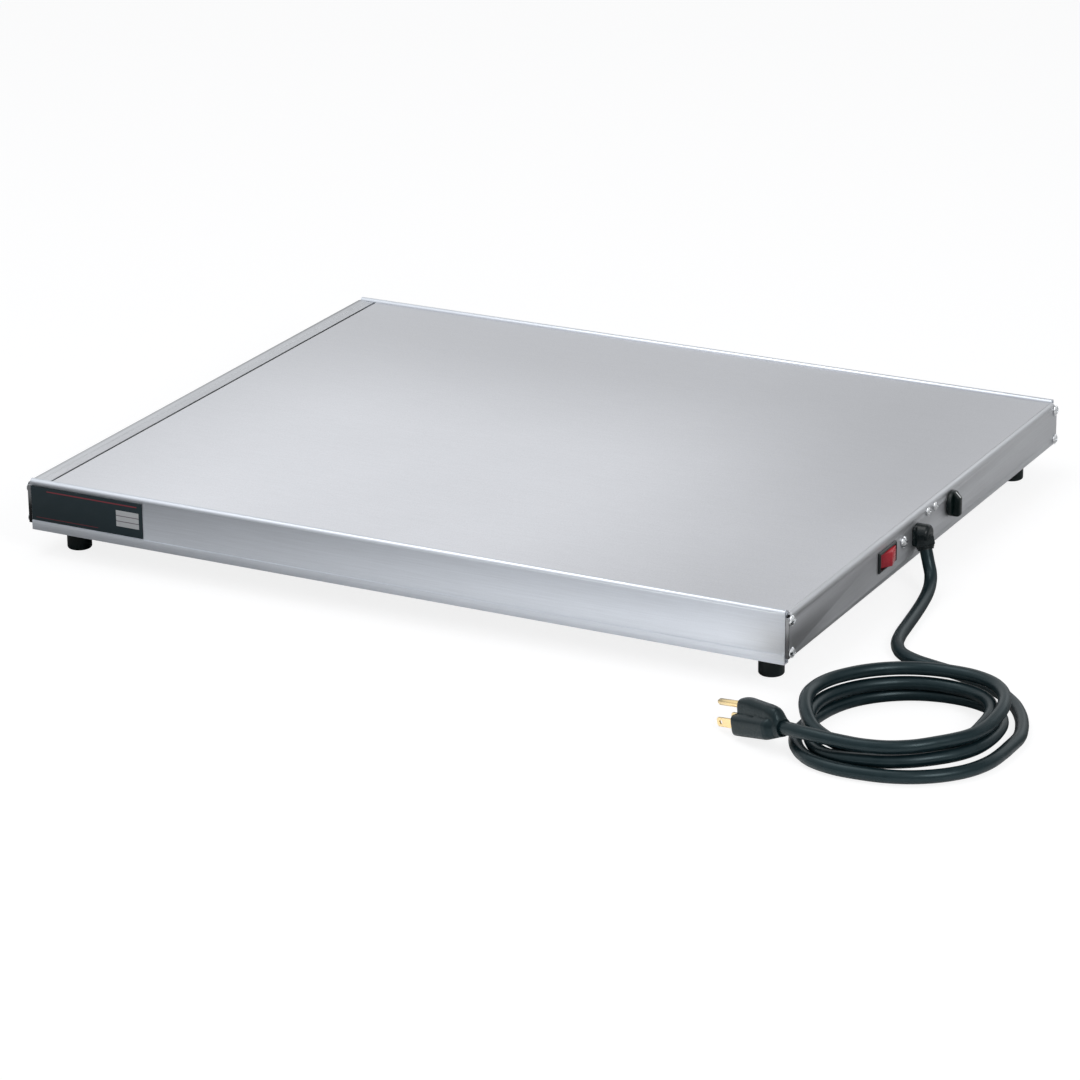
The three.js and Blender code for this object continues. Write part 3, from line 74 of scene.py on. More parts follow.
def ramp_between(tree, value, low, high, from_value, to_value):
    """A value carried smoothly from one range to another."""
    return node(tree, "ShaderNodeMapRange", {
        "Value": value, "From Min": low, "From Max": high, "To Min": from_value, "To Max": to_value,
    }, interpolation_type="SMOOTHSTEP").outputs["Result"]


def band(tree, value, low, high, soft):
    """1 between low and high, falling smoothly to 0 over a soft edge on both sides."""
    return math(tree, "MULTIPLY", ramp_between(tree, value, low - soft, low, 0.0, 1.0),
                ramp_between(tree, value, high, high + soft, 1.0, 0.0))


CAMERA_PLACE = (1.457975, -2.794210, 1.161065)
CAMERA_HEADING, CAMERA_DIP, CAMERA_ROLL = np.radians((27.804, 20.576, -0.705))
FOCAL_LENGTH, SENSOR_WIDTH = 148.12, 36.0

scene = bpy.context.scene
scene.view_settings.view_transform = "Standard"
lens = bpy.data.cameras.new("camera")
lens.lens, lens.sensor_width, lens.clip_end = FOCAL_LENGTH, SENSOR_WIDTH, 50.0
camera = bpy.data.objects.new("camera", lens)
scene.collection.objects.link(camera)
scene.camera = camera
camera.matrix_world = (Matrix.Translation(CAMERA_PLACE)
                       @ Matrix.Rotation(CAMERA_HEADING, 4, "Z")
                       @ Matrix.Rotation(np.pi / 2 - CAMERA_DIP, 4, "X")
                       @ Matrix.Rotation(CAMERA_ROLL, 4, "Z"))

# The room: walls that darken towards the floor, the ceiling and the right, and two windows. Only
# the steel's reflections see them. The camera sees white, and everything else an even fill.
room = bpy.data.worlds.new("room")
scene.world = room
room.use_nodes = True
room.node_tree.nodes.clear()
sky = room.node_tree
sky_place = node(sky, "ShaderNodeTexCoord").outputs["Generated"]
direction = node(sky, "ShaderNodeSeparateXYZ", {0: sky_place})
east, north, high = (direction.outputs[axis] for axis in "XYZ")
wall_light = math(sky, "MULTIPLY", ramp_between(sky, east, -0.75, 0.15, 1.10, 0.70),
                  math(sky, "MULTIPLY", ramp_between(sky, high, 0.0, 0.30, 0.55, 1.0),
                       ramp_between(sky, high, 0.50, 0.95, 1.0, 0.45)))
front_window = math(sky, "MULTIPLY", ramp_between(sky, north, -0.10, 0.35, 0.80, 0.0),
                    ramp_between(sky, high, 0.50, 0.80, 0.0, 1.0))
far_window = math(sky, "MULTIPLY", math(sky, "MULTIPLY", band(sky, high, 0.34, 0.56, 0.08),
                                        band(sky, east, -0.08, 0.40, 0.12)),
                  ramp_between(sky, north, 0.30, 0.60, 0.0, 0.95))
rays = node(sky, "ShaderNodeLightPath")
seen = math(sky, "MAXIMUM", rays.outputs["Is Camera Ray"], rays.outputs["Is Transmission Ray"])
DAYLIGHT = (0.97, 0.985, 1.0, 1)
FILL_STRENGTH = 0.42
walls = node(sky, "ShaderNodeBackground", {
    "Color": DAYLIGHT,
    "Strength": math(sky, "ADD", wall_light, math(sky, "ADD", front_window, far_window))})
fill = node(sky, "ShaderNodeBackground", {"Color": DAYLIGHT, "Strength": FILL_STRENGTH})
white = node(sky, "ShaderNodeBackground", {"Color": (1, 1, 1, 1), "Strength": 1.0})
lighting = node(sky, "ShaderNodeMixShader", {
    0: rays.outputs["Is Glossy Ray"], 1: fill.outputs[0], 2: walls.outputs[0]})
around = node(sky, "ShaderNodeMixShader", {0: seen, 1: lighting.outputs[0], 2: white.outputs[0]})
node(sky, "ShaderNodeOutputWorld", {"Surface": around.outputs[0]})

for name, place, aim, size, power in (
        ("overhead_lamp", (-0.5, -0.3, 2.2), (0.0, 0.0, 0.0), 1.6, 14.0),
        ("side_lamp", (1.8, -1.2, 1.3), (0.3, -0.1, 0.0), 0.9, 18.0)):
    lamp = bpy.data.lights.new(name, "AREA")
    lamp.shape, lamp.size, lamp.energy = "DISK", size, power
    holder = bpy.data.objects.new(name, lamp)
    scene.collection.objects.link(holder)
    way = Matrix.Translation(place).to_translation() - Matrix.Translation(aim).to_translation()
    holder.matrix_world = Matrix.Translation(place) @ way.to_track_quat("Z", "Y").to_matrix().to_4x4()

# The floor: white to the camera with a soft shadow. In the steel it shows a field of painted light
# and shade, darker to the left along the front, near the lip, and beside the right end.
FLOOR_REACH, FLOOR_DROP = 8.0, 0.0005
floor_mesh = bpy.data.meshes.new("floor")
floor_corners = [(-FLOOR_REACH, -FLOOR_REACH, 0), (FLOOR_REACH, -FLOOR_REACH, 0),
                 (FLOOR_REACH, FLOOR_REACH, 0), (-FLOOR_REACH, FLOOR_REACH, 0)]
floor_mesh.from_pydata(floor_corners, [], [(0, 1, 2, 3)])
floor = bpy.data.objects.new("floor", floor_mesh)
floor.location.z = -FLOOR_DROP
scene.collection.objects.link(floor)
paper = bpy.data.materials.new("floor_paper")
paper.use_nodes = True
paper.node_tree.nodes.clear()
tree = paper.node_tree
spot = place_of(paper)
rays = node(tree, "ShaderNodeLightPath")
bounce = node(tree, "ShaderNodeBsdfDiffuse", {"Color": (0.70, 0.705, 0.71, 1)})
shade = node(tree, "ShaderNodeBsdfDiffuse", {"Color": (0.22, 0.22, 0.225, 1)})
lift = node(tree, "ShaderNodeEmission", {"Color": (1, 1, 1, 1), "Strength": 0.84})
sheet_seen = node(tree, "ShaderNodeAddShader", {0: shade.outputs[0], 1: lift.outputs[0]})
along_front = math(tree, "ADD", ramp_between(tree, spot.outputs["X"], -0.40, 0.30, 0.62, 1.46),
                   ramp_between(tree, spot.outputs["X"], 0.20, 0.30, 0.0, 0.24))
near_lip = ramp_between(tree, spot.outputs["Y"], -0.345, -0.285, 1.0, 0.60)
behind_right = math(tree, "MULTIPLY", ramp_between(tree, spot.outputs["Y"], -0.22, 0.32, 0.20, 0.60),
                    ramp_between(tree, spot.outputs["X"], 0.31, 0.40, 0.75, 1.35))
is_right = math(tree, "MULTIPLY", ramp_between(tree, spot.outputs["X"], 0.305, 0.335, 0.0, 1.0),
                ramp_between(tree, spot.outputs["Y"], -0.27, -0.24, 0.0, 1.0))
field = math(tree, "ADD",
             math(tree, "MULTIPLY", math(tree, "MULTIPLY", along_front, near_lip),
                  math(tree, "SUBTRACT", 1.0, is_right)),
             math(tree, "MULTIPLY", behind_right, is_right))
sheet_mirrored = node(tree, "ShaderNodeBsdfDiffuse", {"Color": field})
half_seen = node(tree, "ShaderNodeMixShader", {
    0: rays.outputs["Is Glossy Ray"], 1: bounce.outputs[0], 2: sheet_mirrored.outputs[0]})
paper_face = node(tree, "ShaderNodeMixShader", {
    0: rays.outputs["Is Camera Ray"], 1: half_seen.outputs[0], 2: sheet_seen.outputs[0]})
node(tree, "ShaderNodeOutputMaterial", {"Surface": paper_face.outputs[0]})
floor_mesh.materials.append(paper)


# Power cord. Three stranded wires in a round black rubber jacket, 9.3 mm thick and 1.74 m long.
# It drops from the strain relief, lies on the table in three and a quarter loops laid one on
# the next, and its last stretch crosses over them to the plug.

FLOOR_DEPTH = 19.8
SHELF_CORNER = np.array([-308.3, -247.65, FLOOR_DEPTH])


def in_frame(points):
    """Millimetres from the shelf's front left rail end to metres in the frame."""
    return (np.asarray(points, float) + SHELF_CORNER) / 1000.0


def shell(grid, rows_wrap=False):
    """The faces over rows of points, each row a closed ring. The first and last row are capped
    flat, or joined to each other where the rows wrap."""
    rows, columns = grid.shape[:2]
    index = np.arange(rows * columns).reshape(rows, columns)
    closed = np.vstack([index, index[:1]]) if rows_wrap else index
    closed = np.hstack([closed, closed[:, :1]])
    quads = np.stack([closed[:-1, :-1], closed[:-1, 1:], closed[1:, 1:], closed[1:, :-1]], -1)
    faces = quads.reshape(-1, 4).tolist()
    if not rows_wrap:
        faces += [index[0, ::-1].tolist(), index[-1].tolist()]
    return grid.reshape(-1, 3), faces


def piece(name, shells, material, body, smooth=40, replaced=()):
    """One mesh of closed shells given in shelf millimetres, its faces turned outwards."""
    points, faces, start = [], [], 0
    for shell_points, shell_faces in shells:
        points.append(shell_points)
        faces += [[corner + start for corner in face] for face in shell_faces]
        start += len(shell_points)
    mesh = bpy.data.meshes.new(name)
    mesh.from_pydata(in_frame(np.vstack(points)).tolist(), [], faces)
    work = bmesh.new()
    work.from_mesh(mesh)
    bmesh.ops.remove_doubles(work, verts=work.verts, dist=2e-7)
    bmesh.ops.recalc_face_normals(work, faces=work.faces)
    work.to_mesh(mesh)
    work.free()
    mesh.polygons.foreach_set("use_smooth", [True] * len(mesh.polygons))
    mesh.set_sharp_from_angle(angle=np.radians(smooth))
    mesh.materials.append(material)
    made = bpy.data.objects.new(name, mesh)
    scene.collection.objects.link(made)
    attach(made, body)
    if replaced:
        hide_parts(*replaced)
    return made


def through(points, spacing):
    """Centripetal Catmull-Rom curve through the points, as an array of places about spacing apart."""
    p = np.asarray(points, float)
    p = np.vstack([2 * p[0] - p[1], p, 2 * p[-1] - p[-2]])
    knots = np.concatenate([[0], np.cumsum(np.linalg.norm(np.diff(p, axis=0), axis=1) ** 0.5)])
    steps = max(4, int(np.ceil(np.linalg.norm(np.diff(p[1:-1], axis=0), axis=1).max() / spacing)))
    s = np.arange(steps) / steps
    k = [knots[i:len(knots) - 3 + i, None, None] for i in range(4)]
    q = [p[i:len(p) - 3 + i, None, :] for i in range(4)]
    t = k[1] + (k[2] - k[1]) * s[None, :, None]
    a = [(k[i + 1] - t) / (k[i + 1] - k[i]) * q[i] + (t - k[i]) / (k[i + 1] - k[i]) * q[i + 1]
         for i in range(3)]
    b = [(k[i + 2] - t) / (k[i + 2] - k[i]) * a[i] + (t - k[i]) / (k[i + 2] - k[i]) * a[i + 1]
         for i in range(2)]
    c = (k[2] - t) / (k[2] - k[1]) * b[0] + (t - k[1]) / (k[2] - k[1]) * b[1]
    dense = np.vstack([c.reshape(-1, 3), p[-2:-1]])
    reach = np.concatenate([[0], np.cumsum(np.linalg.norm(np.diff(dense, axis=0), axis=1))])
    even = np.linspace(0, reach[-1], int(reach[-1] / spacing) + 1)
    return np.stack([np.interp(even, reach, dense[:, i]) for i in range(3)], 1)


def station_values(values, place, wraps=False):
    """Catmull-Rom cubic through equally spaced stations, read at an array of places."""
    values = np.asarray(values, float)
    count = len(values)
    first = np.floor(place).astype(int)
    if not wraps:
        first = np.clip(first, 0, count - 2)
    f = place - first
    picks = [first + k for k in (-1, 0, 1, 2)]
    before, start, end, after = (
        values[i % count if wraps else np.clip(i, 0, count - 1)] for i in picks)
    m, n = (end - before) / 2, (after - start) / 2
    cubed, squared = 2 * start - 2 * end + m + n, 3 * end - 3 * start - 2 * m - n
    return (cubed * f + squared) * f * f + m * f + start


# The lowest loop has a radius every 30 degrees. From one turn on, each place has a lean in degrees
# and a spacing in cord thicknesses, every 45 degrees, to the loop that it lies on.
CORD_THICKNESS = 9.3
TABLE_GAP = 0.06
CORD_HEIGHT = CORD_THICKNESS / 2 + TABLE_GAP
LOOPS_MIDDLE = (715, -41)
LOOP_RADII = 71 * np.array([1, 1.014, 1.003, 1.008, 1.07, 1.007, 0.896, 0.911, 0.958, 1.018, 1.049,
                            1.028])
CLIMB_START, CLIMB_TURN = 265, 95
LOOP_LEANS = [36, 31, 31, 13, 88, 78, 67, 52, 20, 0, -12, 80, 110, 104, 103, 135, 142, 127, 117]
LOOP_SPACINGS = [1.33, 1.5, 1.12, 1.12, 1.09, 1.08, 1.08, 1.1, 1.1, 1.1, 1.08, 1.1, 1.09, 1.08, 1.1,
                 1.27, 1.19, 1.3, 1.62]


def lean_offset(turn):
    """How a loop lies on the loop one turn before it, inwards and up."""
    station = (turn - 360) / 45
    lean = np.radians(station_values(LOOP_LEANS, station))
    spacing = station_values(LOOP_SPACINGS, station) * CORD_THICKNESS
    return np.stack([-spacing * np.cos(lean), spacing * np.sin(lean)])


def loop_section(turn):
    """Radius and height of the cord's middle at angles counted through all turns."""
    base = np.mod(turn, 360)
    climb = np.clip((base - CLIMB_START) / CLIMB_TURN, 0, 1)
    climb = climb * climb * (3 - 2 * climb)
    inwards, up = lean_offset(np.full_like(base, 360.0))
    section = np.stack([station_values(LOOP_RADII, base / 30, True) + climb * inwards,
                        CORD_HEIGHT + climb * up])
    for whole in (1, 2, 3):
        at = base + 360 * whole
        section = section + np.where(turn >= at - 1e-9, lean_offset(at), 0)
    return section


def on_loops(turn):
    """Places of the cord's middle in the loops, clockwise seen from above."""
    radius, height = loop_section(turn)
    angle = -np.radians(turn)
    return np.stack([LOOPS_MIDDLE[0] + radius * np.cos(angle), LOOPS_MIDDLE[1] + radius * np.sin(angle),
                     height - FLOOR_DEPTH], 1)


def unit(vector):
    return vector / np.linalg.norm(vector)


LAST_TURN = 1115
loops = on_loops(np.linspace(0, LAST_TURN, 75))
start_way = unit(loops[0] - on_loops(np.array([1.0]))[0])
end_way = unit(loops[-1] - on_loops(np.array([LAST_TURN - 1.0]))[0])
loop_start = loops[0] + start_way * CORD_THICKNESS
loop_end = loops[-1] + end_way * CORD_THICKNESS

RELIEF_TILT, RELIEF_HEADING = np.radians(24), np.radians(-36)
RELIEF_WAY = np.array([np.sin(RELIEF_TILT) * np.cos(RELIEF_HEADING),
                       np.sin(RELIEF_TILT) * np.sin(RELIEF_HEADING), -np.cos(RELIEF_TILT)])
COLLAR_TOP, COLLAR_LENGTH = np.array([618.2, 220.9, 18.5]), 8.0
RELIEF_MOUTH = COLLAR_TOP + RELIEF_WAY * COLLAR_LENGTH
CORD_TUCK = 0.4
PLUG_TURN, PLUG_PITCH = np.radians(-24.7), np.radians(12.6)
PLUG_PLACE = np.array([615.1, -78.2, TABLE_GAP - FLOOR_DEPTH])
PLUG_LENGTH, PLUG_CORD_HEIGHT = 44.8, 8.7


def on_plug(points):
    """Plug millimetres, x from its face to the cord, carried to where the plug lies on the table."""
    x, y, z = np.moveaxis(np.asarray(points, float), -1, 0)
    along = x * np.cos(PLUG_PITCH) - z * np.sin(PLUG_PITCH)
    up = x * np.sin(PLUG_PITCH) + z * np.cos(PLUG_PITCH)
    return PLUG_PLACE + np.stack([along * np.cos(PLUG_TURN) - y * np.sin(PLUG_TURN),
                                  along * np.sin(PLUG_TURN) + y * np.cos(PLUG_TURN), up], -1)


LYING = CORD_HEIGHT - FLOOR_DEPTH
lead = np.array([
    RELIEF_MOUTH - RELIEF_WAY * CORD_TUCK, RELIEF_MOUTH + RELIEF_WAY * CORD_THICKNESS,
    (627.2, 213.2, 15.6 - FLOOR_DEPTH), (629.8, 206.4, 11 - FLOOR_DEPTH),
    (632.1, 196.5, 8 - FLOOR_DEPTH), (634.6, 181, 5.9 - FLOOR_DEPTH), (637.2, 163, LYING + 0.2),
    (640.6, 140, LYING), (643.8, 120, LYING), (648.6, 103.5, LYING), (658, 89.5, LYING),
    (671.5, 81.5, LYING), (690, 76, LYING), (713, 70, LYING),
    (740, 57, LYING), (760.5, 39.5, LYING), (774.2, 19.5, LYING), (782.5, 0, LYING), (786, -14, LYING),
    loop_start + start_way * CORD_THICKNESS / 2])
tail = np.array([
    loop_end + end_way * CORD_THICKNESS / 2,
    (744, -93.2, 21.4 - FLOOR_DEPTH), (730, -100.8, 21 - FLOOR_DEPTH),
    (713, -104.9, 20.9 - FLOOR_DEPTH), (695.5, -105.3, 21.1 - FLOOR_DEPTH),
    (680.5, -104.3, 21.2 - FLOOR_DEPTH), (668.5, -102, 20.8 - FLOOR_DEPTH),
    on_plug([PLUG_LENGTH + CORD_THICKNESS / 2, 0, PLUG_CORD_HEIGHT]),
    on_plug([PLUG_LENGTH - CORD_TUCK, 0, PLUG_CORD_HEIGHT])])
CORD_STEP = 2.0
cord_line = through(np.vstack([lead, loop_start[None], loops, loop_end[None], tail]), CORD_STEP)


def tube_grid(line, radii, sides):
    """Circles square to a line: place + radius (side cos a + up sin a), side level with the table."""
    way = np.gradient(line, axis=0)
    way /= np.linalg.norm(way, axis=1)[:, None]
    side = np.cross((0, 0, 1.0), way)
    side /= np.linalg.norm(side, axis=1)[:, None]
    up = np.cross(way, side)
    a = np.arange(sides) / sides * 2 * np.pi
    ring = side[:, None] * np.cos(a)[None, :, None] + up[:, None] * np.sin(a)[None, :, None]
    return line[:, None] + np.asarray(radii, float).reshape(-1, 1, 1) * ring


def moulded_group():
    """Mottling, dust and fine pits of moulded rubber and plastic, from the piece's own places."""
    group = bpy.data.node_groups.new("moulded_skin", "ShaderNodeTree")
    for label, value in (("Mottle", 0.2), ("Dust", 0.1), ("Pits", 0.3)):
        socket = group.interface.new_socket(label, in_out="INPUT", socket_type="NodeSocketFloat")
        socket.default_value = value
    group.interface.new_socket("Place", in_out="INPUT", socket_type="NodeSocketVector")
    for label in ("Shade", "Dust", "Wear", "Height"):
        group.interface.new_socket(label, in_out="OUTPUT", socket_type="NodeSocketFloat")
    given = group.nodes.new("NodeGroupInput")
    place = given.outputs["Place"]
    cloud = node(group, "ShaderNodeTexNoise", {
        "Vector": place, "Scale": 90.0, "Detail": 4.0}).outputs[0]
    fine = node(group, "ShaderNodeTexNoise", {
        "Vector": place, "Scale": 2600.0, "Detail": 2.0}).outputs[0]
    pits = node(group, "ShaderNodeTexVoronoi", {"Vector": place, "Scale": 1500.0}).outputs["Distance"]
    shade = math(group, "ADD", 1.0, math(
        group, "MULTIPLY", given.outputs["Mottle"], math(group, "SUBTRACT", cloud, 0.5)))
    dust = math(group, "MULTIPLY", given.outputs["Dust"],
                ramp_between(group, cloud, 0.45, 0.75, 0.0, 1.0))
    wear = math(group, "MULTIPLY", given.outputs["Mottle"], math(group, "SUBTRACT", fine, 0.5))
    height = math(group, "MULTIPLY", given.outputs["Pits"], math(
        group, "ADD", pits, math(group, "MULTIPLY", fine, 0.6)))
    node(group, "NodeGroupOutput", {"Shade": shade, "Dust": dust, "Wear": wear, "Height": height})
    return group


moulded_skin = moulded_group()


def moulded(name, colour, roughness, mottle=0.35, dust=0.06, pits=0.5, dust_colour=(0.30, 0.31, 0.32),
            **fixed):
    """A moulded rubber or plastic finish: its colour, mottled and lightly dusted, over fine pits."""
    material = bpy.data.materials.new(name)
    material.use_nodes = True
    tree = material.node_tree
    face = tree.nodes["Principled BSDF"]
    place = node(tree, "ShaderNodeTexCoord").outputs["Object"]
    skin = node(tree, "ShaderNodeGroup", node_tree=moulded_skin)
    for label, value in (("Mottle", mottle), ("Dust", dust), ("Pits", pits)):
        skin.inputs[label].default_value = value
    tree.links.new(place, skin.inputs["Place"])
    tone = mixed(tree, 1.0, (*colour, 1), skin.outputs["Shade"], "MULTIPLY")
    dusty = mixed(tree, skin.outputs["Dust"], tone, (*dust_colour, 1))
    tree.links.new(dusty, face.inputs["Base Color"])
    rough = math(tree, "ADD", math(tree, "ADD", roughness, skin.outputs["Wear"]),
                 math(tree, "MULTIPLY", skin.outputs["Dust"], 0.8), clamp=True)
    tree.links.new(rough, face.inputs["Roughness"])
    bump = node(tree, "ShaderNodeBump", {
        "Strength": 0.25, "Distance": 0.00012, "Height": skin.outputs["Height"]})
    tree.links.new(bump.outputs[0], face.inputs["Normal"])
    for label, value in fixed.items():
        face.inputs[label.replace("_", " ")].default_value = value
    return material


TEAL_DUST, TEAL_GLOSS = (0.10, 0.12, 0.13), (0.75, 0.95, 1.0, 1)
jacket = moulded("cord_jacket", (0.004, 0.012, 0.015), 0.32, mottle=0.30, dust=0.04, pits=0.35,
                 dust_colour=TEAL_DUST, Specular_Tint=TEAL_GLOSS, Specular_IOR_Level=0.30)
cord_tube = shell(tube_grid(cord_line, CORD_THICKNESS / 2, 20))
cord = piece("power_cord_lead", [cord_tube], jacket, "shelf",
             replaced=("power_cord", "power_cord_coil", "power_cord_tail"))


# Plug. A black moulded three-pin body: a wide lower lobe round the two blades, a narrower lobe
# for the ground pin set back on it, and a short neck into which the cord is moulded.

def lobe_width(z, low, high, half, power):
    """Half the width of a rounded block at heights z: a superellipse between low and high."""
    middle, reach = (low + high) / 2, (high - low) / 2
    inside = np.clip(1 - np.abs((z - middle) / reach) ** power, 0, 1)
    return half * inside ** (1 / power)


def plug_grid():
    """Sections along the plug: at each height as wide as the wider lobe, blended where the two
    meet, with the upper lobe's face set back."""
    x = np.concatenate([[0, 0.25, 0.8, 1.6], np.linspace(3, 33, 25), np.linspace(33.6, PLUG_LENGTH, 34)])
    # Each table pairs places along the plug with a size there.
    face = np.interp(x, [0, 0.25, 0.8, 1.6, 3], [0.93, 0.96, 0.985, 0.997, 1])
    lower_half = face * np.interp(x, [0, 33.5, 36.5, 38.5, 40.5, PLUG_LENGTH],
                                  [10.8, 10.8, 10.2, 8.4, 7.0, 6.4])
    lower_low = np.interp(x, [0, 33, 38, PLUG_LENGTH], [0.6, 0.6, 1.5, 2.9])
    lower_high = np.interp(x, [0, 22, 36, PLUG_LENGTH], [15.9, 15.9, 15.9, 14.6])
    upper_half = face * np.interp(x, [0, 30, 38, PLUG_LENGTH], [5.4, 5.8, 6.2, 5.9])
    upper_high = np.interp(x, [0, 1.2, 5, 9, 13, 22, 33, 39.5, 41.2, 42.8, 44.2, PLUG_LENGTH],
                           [24.2, 25.3, 26.1, 26.4, 26.3, 25.1, 23.7, 22.4, 21.4, 18.6, 15.6, 14.8])
    upper_low = np.full_like(x, 3.0)
    top = np.maximum(lower_high, upper_high)
    share = (1 - np.cos(np.linspace(0, np.pi, 41))) / 2
    z = lower_low[:, None] + (top - lower_low)[:, None] * share[None]
    lower = lobe_width(z, lower_low[:, None], lower_high[:, None],
                       lower_half[:, None], np.interp(x, [0, 34, 40], [4.2, 3.6, 2.3])[:, None])
    upper = lobe_width(z, upper_low[:, None], upper_high[:, None],
                       upper_half[:, None], np.interp(x, [0, 34, 42], [3.6, 3.2, 2.3])[:, None])
    sharpness = 1.6
    half = np.log((np.exp(lower * sharpness) + np.exp(upper * sharpness)) / 2) / sharpness
    half[:, 0] = half[:, -1] = 0
    step_up = np.clip((z - 15.0) / 1.4, 0, 1)
    step_up = step_up * step_up * (3 - 2 * step_up)
    set_back = (1.5 + 2.2 * step_up) * np.clip(1 - x[:, None] / 30, 0, 1)
    right = np.stack([x[:, None] + set_back, half, z], -1)
    left = right[:, -2:0:-1] * np.array([1, -1, 1])
    return np.concatenate([right, left], 1)


plug_rubber = moulded("plug_rubber", (0.003, 0.009, 0.011), 0.28, mottle=0.35, dust=0.04, pits=0.45,
                      dust_colour=TEAL_DUST, Specular_Tint=TEAL_GLOSS, Specular_IOR_Level=0.28)
plug = piece("plug_moulding", [shell(on_plug(plug_grid()))], plug_rubber, "shelf", 38,
             ("plug_body",))


# Plug pins. Two blades and a round ground pin of bright drawn brass, stamped and set in the body.

def drawn_group():
    """Drawing lines, fine specks and soft clouds of worked metal, from stretched places."""
    group = bpy.data.node_groups.new("worked_metal", "ShaderNodeTree")
    for label, value in (("Lines", 0.1), ("Specks", 0.1), ("Clouds", 0.05)):
        socket = group.interface.new_socket(label, in_out="INPUT", socket_type="NodeSocketFloat")
        socket.default_value = value
    for label in ("Stretched", "Place"):
        group.interface.new_socket(label, in_out="INPUT", socket_type="NodeSocketVector")
    for label in ("Shade", "Wear", "Height"):
        group.interface.new_socket(label, in_out="OUTPUT", socket_type="NodeSocketFloat")
    given = group.nodes.new("NodeGroupInput")
    lines = node(group, "ShaderNodeTexNoise", {
        "Vector": given.outputs["Stretched"], "Scale": 1.0, "Detail": 5.0, "Roughness": 0.65}).outputs[0]
    specks = node(group, "ShaderNodeTexNoise", {
        "Vector": given.outputs["Place"], "Scale": 1300.0, "Detail": 2.0, "Roughness": 0.7}).outputs[0]
    clouds = node(group, "ShaderNodeTexNoise", {
        "Vector": given.outputs["Place"], "Scale": 7.0, "Detail": 3.0}).outputs[0]

    def share(label, noise):
        return math(group, "MULTIPLY", given.outputs[label], math(group, "SUBTRACT", noise, 0.5))
    both = math(group, "ADD", share("Lines", lines), share("Specks", specks))
    shade = math(group, "ADD", math(group, "ADD", 1.0, both), share("Clouds", clouds))
    wear = math(group, "ADD", both, math(group, "MULTIPLY", share("Clouds", clouds), 2.0))
    node(group, "NodeGroupOutput", {"Shade": shade, "Wear": wear, "Height": both})
    return group


worked_metal = drawn_group()


def metal(name, colour, roughness, stretch, lines=0.2, specks=0.2, clouds=0.1, bump=0.15):
    """A bare metal finish: its colour under drawing lines along the axis that is stretched least."""
    material = bpy.data.materials.new(name)
    material.use_nodes = True
    tree = material.node_tree
    face = tree.nodes["Principled BSDF"]
    place = node(tree, "ShaderNodeTexCoord").outputs["Object"]
    stretched = node(tree, "ShaderNodeMapping", {"Vector": place, "Scale": stretch}).outputs[0]
    work = node(tree, "ShaderNodeGroup", node_tree=worked_metal)
    for label, value in (("Lines", lines), ("Specks", specks), ("Clouds", clouds)):
        work.inputs[label].default_value = value
    tree.links.new(stretched, work.inputs["Stretched"])
    tree.links.new(place, work.inputs["Place"])
    tone = mixed(tree, 1.0, (*colour, 1), work.outputs["Shade"], "MULTIPLY")
    tree.links.new(tone, face.inputs["Base Color"])
    wear = math(tree, "MULTIPLY", work.outputs["Wear"], 0.35)
    tree.links.new(math(tree, "ADD", roughness, wear, clamp=True), face.inputs["Roughness"])
    relief = node(tree, "ShaderNodeBump", {
        "Strength": bump, "Distance": 0.0001, "Height": work.outputs["Height"]})
    tree.links.new(relief.outputs[0], face.inputs["Normal"])
    face.inputs["Metallic"].default_value = 1.0
    return material


def soften(name, material, width=0.00025, body_smooth=50):
    """A solid of the frame in its finish: its facets merged, its edges broken by a small round."""
    part = nodes[name]
    part.data.materials.clear()
    part.data.materials.append(material)
    part.data.polygons.foreach_set("use_smooth", [True] * len(part.data.polygons))
    part.modifiers.new("weld", "WELD").merge_threshold = 1e-6
    flat = part.modifiers.new("flat", "DECIMATE")
    flat.decimate_type, flat.angle_limit = "DISSOLVE", np.radians(1)
    if width:
        edge = part.modifiers.new("edge", "BEVEL")
        edge.width, edge.segments, edge.limit_method = width, 2, "ANGLE"
        edge.angle_limit, edge.harden_normals = np.radians(38), False
    split = part.modifiers.new("split", "EDGE_SPLIT")
    split.split_angle = np.radians(body_smooth)


brass = metal("pin_brass", (0.80, 0.62, 0.33), 0.22, (300, 300, 2500), lines=0.25, specks=0.12)
for name in ("plug_blade_front", "plug_blade_rear", "plug_ground_pin"):
    soften(name, brass, 0.0002)


# Rails. Extruded stainless sections, brushed along their length: a bright round bead on top,
# a flat face set back under it and, in front, a lip below.

rail_steel = metal("rail_steel", (0.645, 0.675, 0.725), 0.40, (25, 900, 900), lines=0.22, specks=0.10,
                   clouds=0.05)
for name in ("front_rail", "rear_rail"):
    soften(name, rail_steel, 0.0002)


# End panels. Folded stainless sheet, brushed from front to back, screwed to the rail ends. Their
# front edges and the left panel's outside are darkened by painted shade, and the low front corners
# by a painted dark reflection of the cord.

def toned(material, tone):
    """Darkens or lightens a finish by a value that changes over the piece."""
    tree = material.node_tree
    face = tree.nodes["Principled BSDF"]
    before = face.inputs["Base Color"].links[0].from_socket
    tree.links.new(mixed(tree, 1.0, before, tone, "MULTIPLY"), face.inputs["Base Color"])


